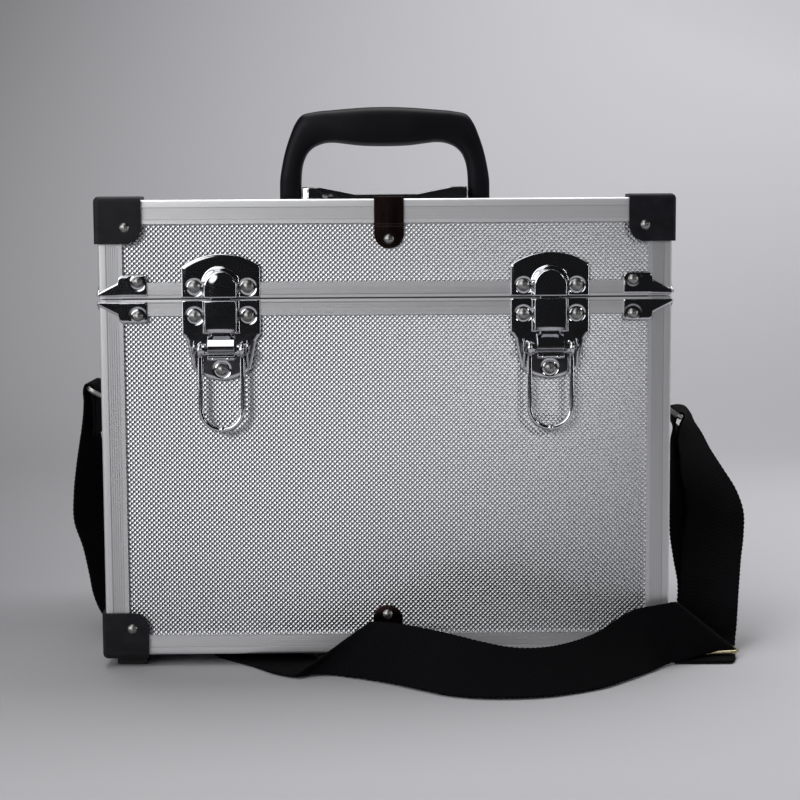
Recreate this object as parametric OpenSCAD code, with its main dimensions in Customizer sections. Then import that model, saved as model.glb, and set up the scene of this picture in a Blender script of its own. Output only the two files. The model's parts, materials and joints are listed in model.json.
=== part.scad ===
// Aluminium-framed tool case: textured panels in aluminium edge profiles, plastic corner guards,
// chromed seam braces, two draw latches, a swinging top handle and a webbing shoulder strap.
// Origin: centre of the case's footprint on the floor. +X right, front at -Y, +Z up. Millimetres.

/* [Case] */
// Width over the edge profiles
case_w = 336; // [300:1:420]
// Depth over the edge profiles
case_d = 225; // [190:1:300]
// Height of the body, from its base rail to the seam
body_h = 212; // [180:1:300]
// Height of the lid
lid_h = 57.4; // [50:0.2:90]
// Gap between lid and body at the seam
seam_gap = 0.6; // [0.4:0.1:1]
// Height of the case's underside above the floor
foot_h = 7; // [5.5:0.5:12]

/* [Walls] */
// Thickness of the textured face sheet
skin_t = 0.8; // [0.5:0.1:1.2]
// Thickness of the plywood boards
board_t = 3.4; // [2.5:0.1:5]
// Thickness of the foam lining
lining_t = 2.5; // [2:0.1:4]
// Room round each board inside its slots
board_play = 0.2; // [0.1:0.05:0.4]
// Room between the rim's tongue and the lid's lining
lining_gap = 1.5; // [1:0.1:3]

/* [Edge profiles] */
// Wall of the profile's outer flanges
profile_t = 1.4; // [1:0.1:2]
// Wall of the profile's inner flanges
inner_t = 1.2; // [0.8:0.1:1.6]
// Face width of the corner posts and the lid's top rails
post_leg = 14; // [13:0.5:18]
// Reach of the inner flanges from the outer corner
inner_leg = 11; // [9.5:0.5:13]
// Front face height of the base rails
base_leg = 12; // [10:0.5:16]
// Rounding of the profile's outer edge
profile_r = 1.5; // [0.8:0.1:2]
// Height of the lid's rim above the seam
lid_rim_h = 9.3; // [8:0.1:14]
// Height of the body's rim below the seam
body_rim_h = 9.6; // [8:0.1:14]
// Height of the rim's tongue that enters the lid
tongue_h = 4.5; // [3:0.1:4.8]
// Thickness of the rim's tongue
tongue_t = 1.4; // [1:0.1:1.8]
// Clearance between tongue and lid rim
tongue_gap = 0.8; // [0.6:0.1:1.2]
// Distance from the profile's edge to its first groove
groove_start = 4.6; // [3:0.1:5]
// Spacing of the decorative grooves
groove_pitch = 1.3; // [1:0.1:2]
// Width of a groove
groove_w = 0.5; // [0.3:0.1:0.7]
// Depth of a groove
groove_depth = 0.3; // [0.2:0.05:0.4]

/* [Corner guards and feet] */
// Reach of a guard along each edge, from the profile's corner
guard_leg = 25.5; // [22:0.5:32]
// Thickness of a guard
guard_t = 2.2; // [1.8:0.1:3]
// Rounding of a guard's outer edges
guard_r = 3.2; // [3:0.1:4]
// Rounding of a guard's free corners
guard_corner_r = 9.5; // [6:0.5:11]
// Distance of a guard's rivets from the profile's edges
guard_rivet = 16; // [15:0.5:17]
// Diameter of a foot
foot_d = 17; // [12:0.5:20]
// Rounding of a foot's lower edge
foot_r = 1.2; // [0.6:0.1:1.6]

/* [Rivets] */
// Head diameter of the brace and guard rivets
rivet_d = 6; // [5:0.2:7]
// Head diameter of the latch rivets
latch_rivet_d = 7.4; // [6:0.2:8]
// Head height as a share of the head's diameter
rivet_dome = 0.3; // [0.2:0.05:0.4]
// Shank diameter
shank_d = 3.2; // [2.5:0.1:4]

/* [Seam braces and edge clips] */
// Sheet thickness of the seam braces
brace_t = 1.2; // [0.8:0.1:1.5]
// Reach of a brace from the case's vertical edge
brace_reach = 28.5; // [26:0.5:34]
// Start of a brace's wide part
brace_wing = 11.6; // [10:0.2:14]
// Height of a brace's wide part
brace_h = 12.4; // [11:0.2:14]
// Distance between a brace and the seam
brace_seam = 1.4; // [1:0.1:2]
// Width of an edge clip
clip_w = 17.4; // [14:0.2:22]
// Reach of an edge clip over each face
clip_leg = 29; // [26:0.5:34]
// Sheet thickness of an edge clip
clip_t = 1.2; // [0.8:0.1:1.5]

/* [Hinges] */
// Length of a hinge
hinge_w = 44; // [36:1:60]
// Height of a hinge leaf
hinge_leaf_h = 24; // [20:1:30]
// Sheet thickness of a hinge leaf
hinge_t = 1.5; // [1:0.1:1.8]
// Outer radius of the hinge knuckle
knuckle_r = 3.2; // [2.8:0.1:4]
// Radius of the hinge pin
hinge_pin_r = 1.6; // [1.2:0.1:1.8]
// Running clearance round pins
pin_gap = 0.08; // [0.05:0.01:0.1]
// Gap between hinge knuckles, and between a knuckle and the rear wall
knuckle_gap = 0.3; // [0.2:0.05:0.5]
// Distance of the hinges and latches from the case's middle
fitting_x = 96.4; // [80:0.2:110]

/* [Latches] */
// Width of the latch plates
latch_w = 46.2; // [44:0.2:54]
// Height of the keeper plate at its middle
keeper_h = 26; // [24:0.2:30]
// Height of the keeper plate at its sides
keeper_side_h = 18.6; // [17:0.2:20]
// Height of the base plate
latch_base_h = 47.6; // [45:0.2:54]
// Height of the base plate's wide part
latch_wide_h = 21; // [19:0.2:24]
// Width of the base plate at its foot
latch_foot_w = 33; // [30:0.5:38]
// Distance of the latch plates from the seam
latch_seam = 0.4; // [0.3:0.1:1]
// Sheet thickness of the latch plates
latch_t = 1.2; // [1:0.1:1.5]
// Width of the raised channel over the hook
channel_w = 18.4; // [17:0.2:20]
// Height of the raised channel above its plate
channel_rise = 5; // [4.6:0.1:6]
// Length of the raised channel on the base plate
channel_l = 18.6; // [16:0.2:20]
// Height of the keeper's dome above the seam
dome_h = 19; // [17:0.2:20]
// Drop of the latch pivot below the seam
pivot_drop = 29.5; // [28:0.5:33]
// Distance of the latch pivot from the base plate
pivot_out = 4.8; // [4.6:0.1:6]
// Radius of the bail's wire
bail_wire_r = 1.5; // [1.2:0.1:1.8]
// Distance between the bail's legs, from wire centre to wire centre
bail_w = 24.6; // [24:0.2:28]
// Length of the bail from its pivot to the wire centre of its bow
bail_l = 47; // [40:0.5:56]
// Radius of the pivot rivets
pivot_r = 1.4; // [1.2:0.1:1.6]
// Throw of the bail's crank pin
crank_throw = 2; // [1.5:0.1:2.2]
// Radius of the crank pin
crank_pin_r = 0.8; // [0.7:0.05:1]
// Room for the crank pin above and below it in the hook's slot
crank_room = 0.7; // [0.65:0.05:0.9]
// Width of the hook
hook_w = 11.6; // [10:0.2:13]
// Sheet thickness of the hook
hook_t = 1.6; // [1.2:0.1:1.8]
// Height of the hook's lip above the seam
hook_top = 7.4; // [6:0.2:8]

/* [Handle] */
// Overall width of the handle
handle_w = 134.4; // [124:0.2:150]
// Overall height of the handle above its seat
handle_h = 60.6; // [58:0.2:70]
// Depth of the handle's grip from front to back
grip_d = 22; // [18:0.5:24]
// Depth of the handle's legs from front to back
handle_leg_d = 15; // [13:0.5:16]
// Width of a handle leg
handle_leg_w = 13.6; // [12:0.2:15]
// Height of the handle pivot above the lid's face sheet
handle_pivot_h = 7; // [6.8:0.1:8]
// Radius of the rounded leg ends
leg_end_r = 6.2; // [5.5:0.1:6.4]
// Radius of the handle's pivot pins
handle_pin_r = 2.2; // [1.8:0.1:2.5]
// Depth of the bracket from front to back
bracket_d = 24; // [20:0.5:30]
// Sheet thickness of the bracket
bracket_t = 1.4; // [1:0.1:1.8]
// Height of the bracket's ends
bracket_end_h = 10.4; // [10:0.2:12]
// Height of the bracket's middle
bracket_mid_h = 5.9; // [4:0.2:7]
// Gap between the bracket and the handle's legs
bracket_gap = 0.8; // [0.5:0.1:1.2]

/* [Strap rings] */
// Height of the rings' pivot above the floor
ring_z = 149; // [120:1:160]
// Distance of the rings' pivot from the side panel
ring_out = 5.9; // [5:0.1:7]
// Radius of the ring's wire
ring_wire_r = 1.5; // [1.2:0.1:1.8]
// Length of a ring from its pivot to the centre of its far bar
ring_l = 20.5; // [18:0.5:24]
// Width of a ring between its wire centres
ring_w = 46; // [44:0.5:50]
// Rounding of a ring's corners
ring_r = 5; // [4:0.5:7]
// Length of the chape's tube
chape_w = 26; // [20:0.5:30]
// Wall of the chape's tube and plate
chape_t = 1.3; // [1:0.1:1.6]
// Height of the chape's plate
chape_h = 30; // [26:1:40]
// Tilt of the left ring above level
ring_tilt_left = 28; // [10:1:45]
// Tilt of the right ring above level
ring_tilt_right = -35; // [-45:1:0]

/* [Strap] */
// Thickness of the webbing
web_t = 1.8; // [1.2:0.1:2]
// Radius of the slider's wire
slider_wire_r = 1.4; // [1:0.1:1.6]

/* [Hidden] */
$fn = 48;

// Levels and wall layers. A layer's name ends in _in where it is a distance in from the outer face.
base_z = foot_h;
seam_z = base_z + body_h;
lid_z = seam_z + seam_gap;
top_z = lid_z + lid_h;
half_w = case_w / 2;
half_d = case_d / 2;
skin_in = profile_t;
board_in = skin_in + skin_t;
slot_in = board_in + board_t;
frame_in = slot_in + inner_t;
lining_in = frame_in + lining_t;
board_end = frame_in + board_play;
tongue_in = frame_in + tongue_gap;
rim_web_t = profile_t;
hinge_y = half_d + knuckle_r + knuckle_gap;
hinge_z = seam_z + seam_gap / 2;

// Turns the drawing plane of each side outwards: local X runs right or forward, local Z points out
module on_front(x, z) translate([x, -half_d, z]) rotate([90, 0, 0]) children();
module on_rear(x, z) translate([x, half_d, z]) rotate([90, 0, 180]) children();
module on_left(y, z) translate([-half_w, y, z]) rotate([90, 0, -90]) children();
module on_right(y, z) translate([half_w, y, z]) rotate([90, 0, 90]) children();
module on_top(x, y) translate([x, y, top_z]) children();
module at_corners() for (mx = [0, 1], my = [0, 1]) mirror([mx, 0, 0]) mirror([0, my, 0]) children();
module at_sides() for (mx = [0, 1]) mirror([mx, 0, 0]) children();

function arc(c, r, a0, a1, n = 6) =
  [for (i = [0:n]) let (a = a0 + (a1 - a0) * i / n) [c[0] + r * cos(a), c[1] + r * sin(a)]];

// Edge profile section: corner at the origin, one face along X and the other along Y
function groove_count(leg) = floor((leg - groove_start - 2) / groove_pitch);
module grooves(leg, start = groove_start)
  for (i = [0:groove_count(leg) - 1])
    translate([start + i * groove_pitch, -1]) square([groove_w, 1 + groove_depth]);
module outer_flanges(leg_a, leg_b) difference() {
  polygon(concat(arc([profile_r, profile_r], profile_r, 180, 270),
    [[leg_a, 0], [leg_a, profile_t], [profile_t, profile_t], [profile_t, leg_b], [0, leg_b]]));
  grooves(leg_a);
  mirror([1, -1, 0]) grooves(leg_b);
}
module inner_flanges() {
  difference() {
    translate([profile_t, profile_t]) square(frame_in - profile_t);
    translate([profile_t, profile_t]) square(slot_in - profile_t);
  }
  translate([frame_in, slot_in]) square([inner_leg - frame_in, inner_t]);
  translate([slot_in, frame_in]) square([inner_t, inner_leg - frame_in]);
}
module post(z0, z1, inner_z0, inner_z1) translate([-half_w, -half_d, 0]) {
  translate([0, 0, z0]) linear_extrude(z1 - z0) outer_flanges(post_leg, post_leg);
  translate([0, 0, inner_z0]) linear_extrude(inner_z1 - inner_z0) inner_flanges();
}
module rail_section(leg_flat, leg_upright) {
  outer_flanges(leg_flat, leg_upright);
  inner_flanges();
}
module rails(leg_upright) for (m = [0, 1]) {
  mirror([0, m, 0]) translate([0, -half_d, 0]) rotate([90, 0, 90])
    linear_extrude(case_w - 2 * post_leg, center = true) rail_section(post_leg, leg_upright);
  mirror([m, 0, 0]) translate([-half_w, 0, 0]) rotate([90, 0, 0])
    linear_extrude(case_d - 2 * post_leg, center = true) rail_section(post_leg, leg_upright);
}

// Rim: grooved outer strips between the posts, and a closed channel ring behind them
module rim_strip_section(h) {
  difference() {
    square([profile_t, h]);
    rotate([0, 0, 90]) mirror([0, 1, 0]) grooves(h + 2, groove_start / 2);
  }
  square([board_in, rim_web_t]);
}
module rim_strips(h) for (m = [0, 1]) {
  mirror([0, m, 0]) translate([0, -half_d, 0]) rotate([90, 0, 90])
    linear_extrude(case_w - 2 * post_leg, center = true) rim_strip_section(h);
  mirror([m, 0, 0]) translate([-half_w, 0, 0]) rotate([90, 0, 0])
    linear_extrude(case_d - 2 * post_leg, center = true) rim_strip_section(h);
}
module frame_ring(outer_in, inner_in, h) linear_extrude(h) difference() {
  square([case_w - 2 * outer_in, case_d - 2 * outer_in], center = true);
  square([case_w - 2 * inner_in, case_d - 2 * inner_in], center = true);
}

// One flat wall layer between two depths, from z0 to z1
module wall_x(side, d0, d1, z0, z1)
  translate([-half_w + board_end, side < 0 ? -half_d + d0 : half_d - d1, z0])
    cube([case_w - 2 * board_end, d1 - d0, z1 - z0]);
module wall_y(side, d0, d1, z0, z1)
  translate([side < 0 ? -half_w + d0 : half_w - d1, -half_d + board_end, z0])
    cube([d1 - d0, case_d - 2 * board_end, z1 - z0]);
body_wall_z = [base_z + board_end, seam_z - rim_web_t - board_play];
lid_wall_z = [lid_z + rim_web_t + board_play, top_z - board_end];
module plate_z(z0, z1)
  translate([-half_w + board_end, -half_d + board_end, z0])
    cube([case_w - 2 * board_end, case_d - 2 * board_end, z1 - z0]);

// Body boards and skins
module body_front_board() color("burlywood") wall_x(-1, board_in, slot_in, body_wall_z[0], body_wall_z[1]);
module body_rear_board() color("burlywood") wall_x(1, board_in, slot_in, body_wall_z[0], body_wall_z[1]);
module body_left_board() color("burlywood") wall_y(-1, board_in, slot_in, body_wall_z[0], body_wall_z[1]);
module body_right_board() color("burlywood") wall_y(1, board_in, slot_in, body_wall_z[0], body_wall_z[1]);
module body_bottom_board() color("burlywood") plate_z(base_z + board_in, base_z + slot_in);
module body_front_skin() color("silver") wall_x(-1, skin_in, board_in, body_wall_z[0], body_wall_z[1]);
module body_rear_skin() color("silver") wall_x(1, skin_in, board_in, body_wall_z[0], body_wall_z[1]);
module body_left_skin() color("silver") wall_y(-1, skin_in, board_in, body_wall_z[0], body_wall_z[1]);
module body_right_skin() color("silver") wall_y(1, skin_in, board_in, body_wall_z[0], body_wall_z[1]);
module body_bottom_skin() color("silver") plate_z(base_z + skin_in, base_z + board_in);

module body_corner_posts() color("gainsboro") at_corners()
  post(base_z, seam_z, base_z + post_leg, seam_z - body_rim_h);
module body_base_rails() color("gainsboro") translate([0, 0, base_z]) rails(base_leg);
module body_rim() color("gainsboro") {
  translate([0, 0, seam_z]) mirror([0, 0, 1]) {
    rim_strips(body_rim_h);
    frame_ring(profile_t, tongue_in + tongue_t, rim_web_t);
    frame_ring(slot_in, frame_in, body_rim_h);
  }
  translate([0, 0, seam_z]) frame_ring(tongue_in, tongue_in + tongue_t, tongue_h);
}
module body_lining() color("dimgray") difference() {
  translate([-half_w + frame_in, -half_d + frame_in, base_z + frame_in])
    cube([case_w - 2 * frame_in, case_d - 2 * frame_in, body_h - frame_in - rim_web_t]);
  translate([-half_w + lining_in, -half_d + lining_in, base_z + lining_in])
    cube([case_w - 2 * lining_in, case_d - 2 * lining_in, body_h]);
}

// Lid boards and skins
module lid_top_board() color("burlywood") plate_z(top_z - slot_in, top_z - board_in);
module lid_front_board() color("burlywood") wall_x(-1, board_in, slot_in, lid_wall_z[0], lid_wall_z[1]);
module lid_rear_board() color("burlywood") wall_x(1, board_in, slot_in, lid_wall_z[0], lid_wall_z[1]);
module lid_left_board() color("burlywood") wall_y(-1, board_in, slot_in, lid_wall_z[0], lid_wall_z[1]);
module lid_right_board() color("burlywood") wall_y(1, board_in, slot_in, lid_wall_z[0], lid_wall_z[1]);
module lid_top_skin() color("silver") plate_z(top_z - board_in, top_z - skin_in);
module lid_front_skin() color("silver") wall_x(-1, skin_in, board_in, lid_wall_z[0], lid_wall_z[1]);
module lid_rear_skin() color("silver") wall_x(1, skin_in, board_in, lid_wall_z[0], lid_wall_z[1]);
module lid_left_skin() color("silver") wall_y(-1, skin_in, board_in, lid_wall_z[0], lid_wall_z[1]);
module lid_right_skin() color("silver") wall_y(1, skin_in, board_in, lid_wall_z[0], lid_wall_z[1]);
module lid_corner_posts() color("gainsboro") at_corners()
  post(lid_z, top_z, lid_z + lid_rim_h, top_z - post_leg);
module lid_top_rails() color("gainsboro") translate([0, 0, top_z]) mirror([0, 0, 1]) rails(post_leg);
module lid_rim() color("gainsboro") translate([0, 0, lid_z]) {
  rim_strips(lid_rim_h);
  frame_ring(profile_t, frame_in, rim_web_t);
  frame_ring(slot_in, frame_in, lid_rim_h);
}
lid_lining_z = lid_z + tongue_h + lining_gap;
module lid_lining() color("dimgray") difference() {
  translate([-half_w + frame_in, -half_d + frame_in, lid_lining_z])
    cube([case_w - 2 * frame_in, case_d - 2 * frame_in, top_z - frame_in - lid_lining_z]);
  translate([-half_w + lining_in, -half_d + lining_in, lid_lining_z - 1])
    cube([case_w - 2 * lining_in, case_d - 2 * lining_in, top_z - lining_in - lid_lining_z + 1]);
}

// Rivet: domed head on the plane z = 0 and a shank that fills the sheet's hole behind it
module rivet(d, sheet_t) {
  h = d * rivet_dome;
  r = (d * d / 4 + h * h) / (2 * h);
  intersection() {
    translate([0, 0, h - r]) sphere(r);
    cylinder(r = d, h = 2 * h);
  }
  translate([0, 0, -sheet_t]) cylinder(r = shank_d / 2, h = sheet_t + h / 2);
}
module shank_hole(sheet_t) translate([0, 0, -sheet_t - 1]) cylinder(r = shank_d / 2, h = sheet_t + 2);

// Corner guard, drawn at the corner where the case's left, front and lower faces meet
module guard_outline() {
  s = guard_leg + guard_t;
  r = guard_corner_r;
  square([s, s - r]);
  square([s - r, s]);
  translate([s - r, s - r]) circle(r);
}
module guard_block() {
  s = guard_leg + guard_t;
  r = guard_r;
  translate([r, r, 0]) cube([s - r, s - r, s]);
  translate([r, 0, r]) cube([s - r, s, s - r]);
  translate([0, r, r]) cube([s, s - r, s - r]);
  translate([r, r, r]) {
    sphere(r);
    cylinder(r = r, h = s - r);
    rotate([0, 90, 0]) cylinder(r = r, h = s - r);
    rotate([-90, 0, 0]) cylinder(r = r, h = s - r);
  }
}
module guard() translate([-half_w - guard_t, -half_d - guard_t, -guard_t]) difference() {
  intersection() {
    guard_block();
    union() {
      linear_extrude(guard_t) guard_outline();
      rotate([90, 0, 90]) linear_extrude(guard_t) guard_outline();
      mirror([1, -1, 0]) rotate([90, 0, 90]) linear_extrude(guard_t) guard_outline();
    }
  }
  p = guard_rivet + guard_t;
  translate([p, 0, p]) rotate([90, 0, 0]) shank_hole(guard_t);
  translate([0, p, p]) rotate([90, 0, -90]) shank_hole(guard_t);
  translate([p, p, 0]) rotate([180, 0, 0]) shank_hole(guard_t);
}
module body_corner_guards() color("#222226") at_corners() translate([0, 0, base_z]) guard();
module lid_corner_guards() color("#222226") at_corners()
  translate([0, 0, top_z]) mirror([0, 0, 1]) guard();
module guard_rivets() {
  translate([-half_w + guard_rivet, -half_d - guard_t, guard_rivet]) rotate([90, 0, 0])
    rivet(rivet_d, guard_t);
  translate([-half_w - guard_t, -half_d + guard_rivet, guard_rivet]) rotate([90, 0, -90])
    rivet(rivet_d, guard_t);
}

// Rubber foot under each lower guard, with the screw that passes through the guard
module feet() color("#1b1b1d") at_corners()
  translate([-half_w + guard_rivet, -half_d + guard_rivet, 0]) {
    h = base_z - guard_t;
    rotate_extrude() polygon(concat([[0, 0]], arc([foot_d / 2 - foot_r, foot_r], foot_r, -90, 0),
      [[foot_d / 2, h], [0, h]]));
    cylinder(r = shank_d / 2, h = base_z);
  }

// Seam brace, drawn over the case's front left edge with its long side on z = 0
brace_end_r = 3;
brace_step_r = 2.4;
brace_tip_h = 1.8;
brace_rivet_x = brace_reach - 5.6;
brace_rivet_z = brace_h - 4;
module brace_outline() difference() {
  polygon(concat([[-brace_t, 0], [brace_reach, 0]],
    arc([brace_reach - brace_end_r, brace_h - brace_end_r], brace_end_r, 0, 90),
    arc([brace_wing + brace_step_r, brace_h - brace_step_r], brace_step_r, 90, 180),
    [[brace_wing, brace_rivet_z], [-brace_t, brace_tip_h]]));
  translate([brace_rivet_x, brace_rivet_z]) circle(r = shank_d / 2);
}
module brace() {
  translate([-half_w, -half_d, 0]) rotate([90, 0, 0]) linear_extrude(brace_t) brace_outline();
  translate([-half_w, -half_d, 0]) mirror([1, -1, 0]) rotate([90, 0, 0])
    linear_extrude(brace_t) brace_outline();
}
module brace_rivets() {
  translate([-half_w + brace_rivet_x, -half_d - brace_t, brace_rivet_z]) rotate([90, 0, 0])
    rivet(rivet_d, brace_t);
  translate([-half_w - brace_t, -half_d + brace_rivet_x, brace_rivet_z]) rotate([90, 0, -90])
    rivet(rivet_d, brace_t);
}
module body_seam_braces() color("lightslategray") at_corners()
  translate([0, 0, seam_z - brace_seam]) mirror([0, 0, 1]) brace();
module lid_seam_braces() color("lightslategray") at_corners() translate([0, 0, lid_z + brace_seam]) brace();

// Edge clip, drawn over the case's lower front edge at x = 0
clip_rivet = clip_leg - 5.6;
clip_edge_gap = 0.1;
clip_step = 1.5;
clip_turn = clip_t / 2;
lid_clip_x = 2.2;
module clip_leg_section(flange) polygon([[-clip_t, -clip_t], [-clip_t, flange + clip_turn],
  [skin_in - clip_t, flange + clip_turn + clip_step], [skin_in - clip_t, clip_leg], [skin_in, clip_leg],
  [skin_in, flange + clip_edge_gap + clip_step], [0, flange + clip_edge_gap], [0, 0]]);
module clip_front_outline() difference() {
  union() {
    translate([-clip_w / 2, -clip_t]) square([clip_w, clip_leg + clip_t - clip_w / 2]);
    translate([0, clip_leg - clip_w / 2]) circle(clip_w / 2);
  }
  translate([0, clip_rivet]) circle(shank_d / 2);
}
module clip(flange_front, flange_flat) translate([0, -half_d, 0]) {
  intersection() {
    rotate([90, 0, 90]) linear_extrude(clip_w, center = true) clip_leg_section(flange_front);
    translate([0, skin_in, 0]) rotate([90, 0, 0]) linear_extrude(skin_in + clip_t) clip_front_outline();
  }
  intersection() {
    rotate([90, 0, 90]) linear_extrude(clip_w, center = true)
      mirror([1, -1, 0]) clip_leg_section(flange_flat);
    translate([0, 0, -clip_t]) linear_extrude(skin_in + clip_t) clip_front_outline();
  }
}
module clip_rivets() {
  translate([0, -half_d + skin_in - clip_t, clip_rivet]) rotate([90, 0, 0]) rivet(rivet_d, clip_t);
  translate([0, -half_d + clip_rivet, skin_in - clip_t]) rotate([180, 0, 0]) rivet(rivet_d, clip_t);
}
module body_edge_clips() color("#3a2f2c") translate([0, 0, base_z]) for (m = [0, 1])
  mirror([0, m, 0]) clip(base_leg, post_leg);
module lid_edge_clips() color("#3a2f2c") translate([lid_clip_x, 0, top_z]) mirror([0, 0, 1]) for (m = [0, 1])
  mirror([0, m, 0]) clip(post_leg, post_leg);

// Hinge: leaves on the rear faces, interleaved knuckles and a pin between them
knuckle_count = 5;
leaf_gap = 0.5;
leaf_rivet_x = hinge_w / 3.2;
leaf_rivet_z = hinge_leaf_h - 6;
pin_head = 0.8;
knuckle_l = (hinge_w - (knuckle_count - 1) * knuckle_gap) / knuckle_count;
function knuckle_x(i) = -hinge_w / 2 + i * (knuckle_l + knuckle_gap);
module along_x(x, l) translate([x, 0, 0]) rotate([90, 0, 90]) linear_extrude(l) children();
// Leaf drawn with the hinge axis at the origin, its plate below the axis and the wall at negative y
module hinge_leaf(first) {
  wall = -knuckle_r - knuckle_gap;
  difference() {
    union() {
      along_x(-hinge_w / 2, hinge_w) translate([wall, -hinge_leaf_h]) square([hinge_t, hinge_leaf_h - leaf_gap]);
      for (i = [first:2:knuckle_count - 1]) along_x(knuckle_x(i), knuckle_l) {
        circle(knuckle_r);
        translate([wall, -knuckle_r]) square([-wall, knuckle_r - leaf_gap]);
      }
    }
    for (i = [1 - first:2:knuckle_count - 1])
      along_x(knuckle_x(i) - knuckle_gap, knuckle_l + 2 * knuckle_gap) circle(knuckle_r + knuckle_gap);
    along_x(-hinge_w, 2 * hinge_w) circle(hinge_pin_r + pin_gap);
    for (x = [-1, 1]) translate([x * leaf_rivet_x, wall + hinge_t, -leaf_rivet_z])
      rotate([-90, 0, 0]) shank_hole(hinge_t);
  }
}
module hinge_leaf_rivets() for (x = [-1, 1])
  translate([x * leaf_rivet_x, -knuckle_r - knuckle_gap + hinge_t, -leaf_rivet_z])
    rotate([-90, 0, 0]) rivet(rivet_d, hinge_t);
module at_hinges() for (x = [-1, 1]) translate([x * fitting_x, hinge_y, hinge_z]) children();
module hinge_body_leaves() color("silver") at_hinges() hinge_leaf(0);
module hinge_lid_leaves() color("silver") at_hinges() mirror([0, 0, 1]) hinge_leaf(1);
module hinge_pins() color("dimgray") at_hinges() {
  rotate([0, 90, 0]) cylinder(r = hinge_pin_r, h = hinge_w + 1, center = true);
  for (x = [-1, 1]) translate([x * (hinge_w / 2 + pin_head), 0, 0]) rotate([0, 90, 0])
    cylinder(r = hinge_pin_r + pin_head, h = 1, center = true);
}

// Latch plates, drawn on the front face with the latch's middle at x = 0 and the seam at y = 0
rivet_x = latch_w / 2 - 7.5;
keeper_rivet_y = 6.8;
base_rivet_y = 9.8;
foot_rivet_y = latch_base_h - 6.2;
keeper_arch_r = (latch_w * latch_w / 4 + pow(keeper_h - keeper_side_h, 2)) / (2 * (keeper_h - keeper_side_h));
keeper_arch_a = asin(latch_w / 2 / keeper_arch_r);
module keeper_outline() polygon(concat([[-latch_w / 2, latch_seam], [latch_w / 2, latch_seam]],
  arc([0, keeper_h - keeper_arch_r], keeper_arch_r, 90 - keeper_arch_a, 90 + keeper_arch_a, 16)));
module dome_outline(w, h) intersection() {
  union() {
    translate([0, h - w / 2]) circle(w / 2, $fn = 32);
    translate([-w / 2, latch_seam]) square([w, h - w / 2 - latch_seam]);
  }
  translate([-w, latch_seam]) square([2 * w, h]);
}
dome_skirt = 2;
dome_top = 0.2;
dome_slope = 4.6;
module dome(shrink, rise) hull() {
  linear_extrude(0.01) dome_outline(channel_w + 2 * (dome_skirt - shrink), dome_h - shrink);
  translate([0, 0, rise - 0.01]) linear_extrude(0.01)
    dome_outline(channel_w + 2 * (dome_top - shrink), dome_h - dome_slope - shrink);
}
module keeper() difference() {
  union() {
    linear_extrude(latch_t) keeper_outline();
    dome(0, latch_t + channel_rise);
  }
  translate([0, -0.01, -0.01]) dome(latch_t, channel_rise);
  for (x = [-rivet_x, rivet_x]) translate([x, keeper_rivet_y, latch_t]) shank_hole(latch_t);
}
foot_arc_r = 26;
base_top = latch_seam + 0.8;
waist_in = 2.6;
waist_z = latch_wide_h + 3;
module base_outline() {
  w = latch_w / 2;
  f = latch_foot_w / 2;
  sag = foot_arc_r - sqrt(foot_arc_r * foot_arc_r - f * f);
  a = asin(f / foot_arc_r);
  polygon(concat([[-w, -base_top], [-w, -latch_wide_h], [-w + waist_in, -waist_z],
    [-f, -latch_base_h + sag]],
    arc([0, -latch_base_h + foot_arc_r], foot_arc_r, -90 - a, -90 + a, 10),
    [[f, -latch_base_h + sag], [w - waist_in, -waist_z], [w, -latch_wide_h], [w, -base_top]]));
}
pivot_y = latch_t + pivot_out;
ear_x = bail_w / 2 + bail_wire_r + 1.2;
ear_lip = latch_t + 2;
ear_round = 3;
ear_foot = pivot_drop + 12;
channel_flare = 1.2;
module channel_section(shrink) polygon([[-channel_w / 2 - channel_flare + shrink, -1],
  [channel_w / 2 + channel_flare - shrink, -1],
  [channel_w / 2 - shrink, latch_t + channel_rise - shrink],
  [-channel_w / 2 + shrink, latch_t + channel_rise - shrink]]);
module channel_bar(shrink, over) intersection() {
  translate([0, -base_top + over, 0]) rotate([90, 0, 0])
    linear_extrude(channel_l + 2 * over) channel_section(shrink);
  translate([-latch_w, -latch_base_h, 0]) cube([2 * latch_w, latch_base_h, 2 * channel_rise]);
}
module ear() translate([ear_x, 0, 0]) rotate([0, 90, 0]) linear_extrude(latch_t) difference() {
  polygon([[-0.01, -waist_z], [-ear_lip, -waist_z], [-pivot_y - ear_round, -pivot_drop + ear_round],
    [-pivot_y - ear_round, -pivot_drop - ear_round], [-ear_lip, -ear_foot], [-0.01, -ear_foot]]);
  translate([-pivot_y, -pivot_drop]) circle(pivot_r);
}
module base_plate() difference() {
  union() {
    linear_extrude(latch_t) base_outline();
    channel_bar(0, 0);
    for (m = [0, 1]) mirror([m, 0, 0]) ear();
  }
  translate([0, 0, -0.01]) channel_bar(latch_t, 0.01);
  for (x = [-rivet_x, rivet_x]) translate([x, -base_rivet_y, latch_t]) shank_hole(latch_t);
  translate([0, -foot_rivet_y, latch_t]) shank_hole(latch_t);
}
module at_latch(side) translate([side * fitting_x, -half_d, seam_z]) rotate([90, 0, 0]) children();
module at_latches() for (side = [-1, 1]) at_latch(side) children();
module latch_keepers() color("lightslategray") at_latches() translate([0, seam_gap, 0]) keeper();
module latch_base_plates() color("lightslategray") at_latches() base_plate();
module latch_pivot_rivets() color("silver") at_latches() for (m = [0, 1]) mirror([m, 0, 0])
  translate([0, -pivot_drop, pivot_y]) rotate([0, 90, 0]) {
    translate([0, 0, crank_x + 1]) cylinder(r = pivot_r, h = ear_x + latch_t - crank_x - 1);
    translate([0, 0, ear_x + latch_t]) cylinder(r = pivot_r + 1, h = pivot_head);
  }

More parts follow.
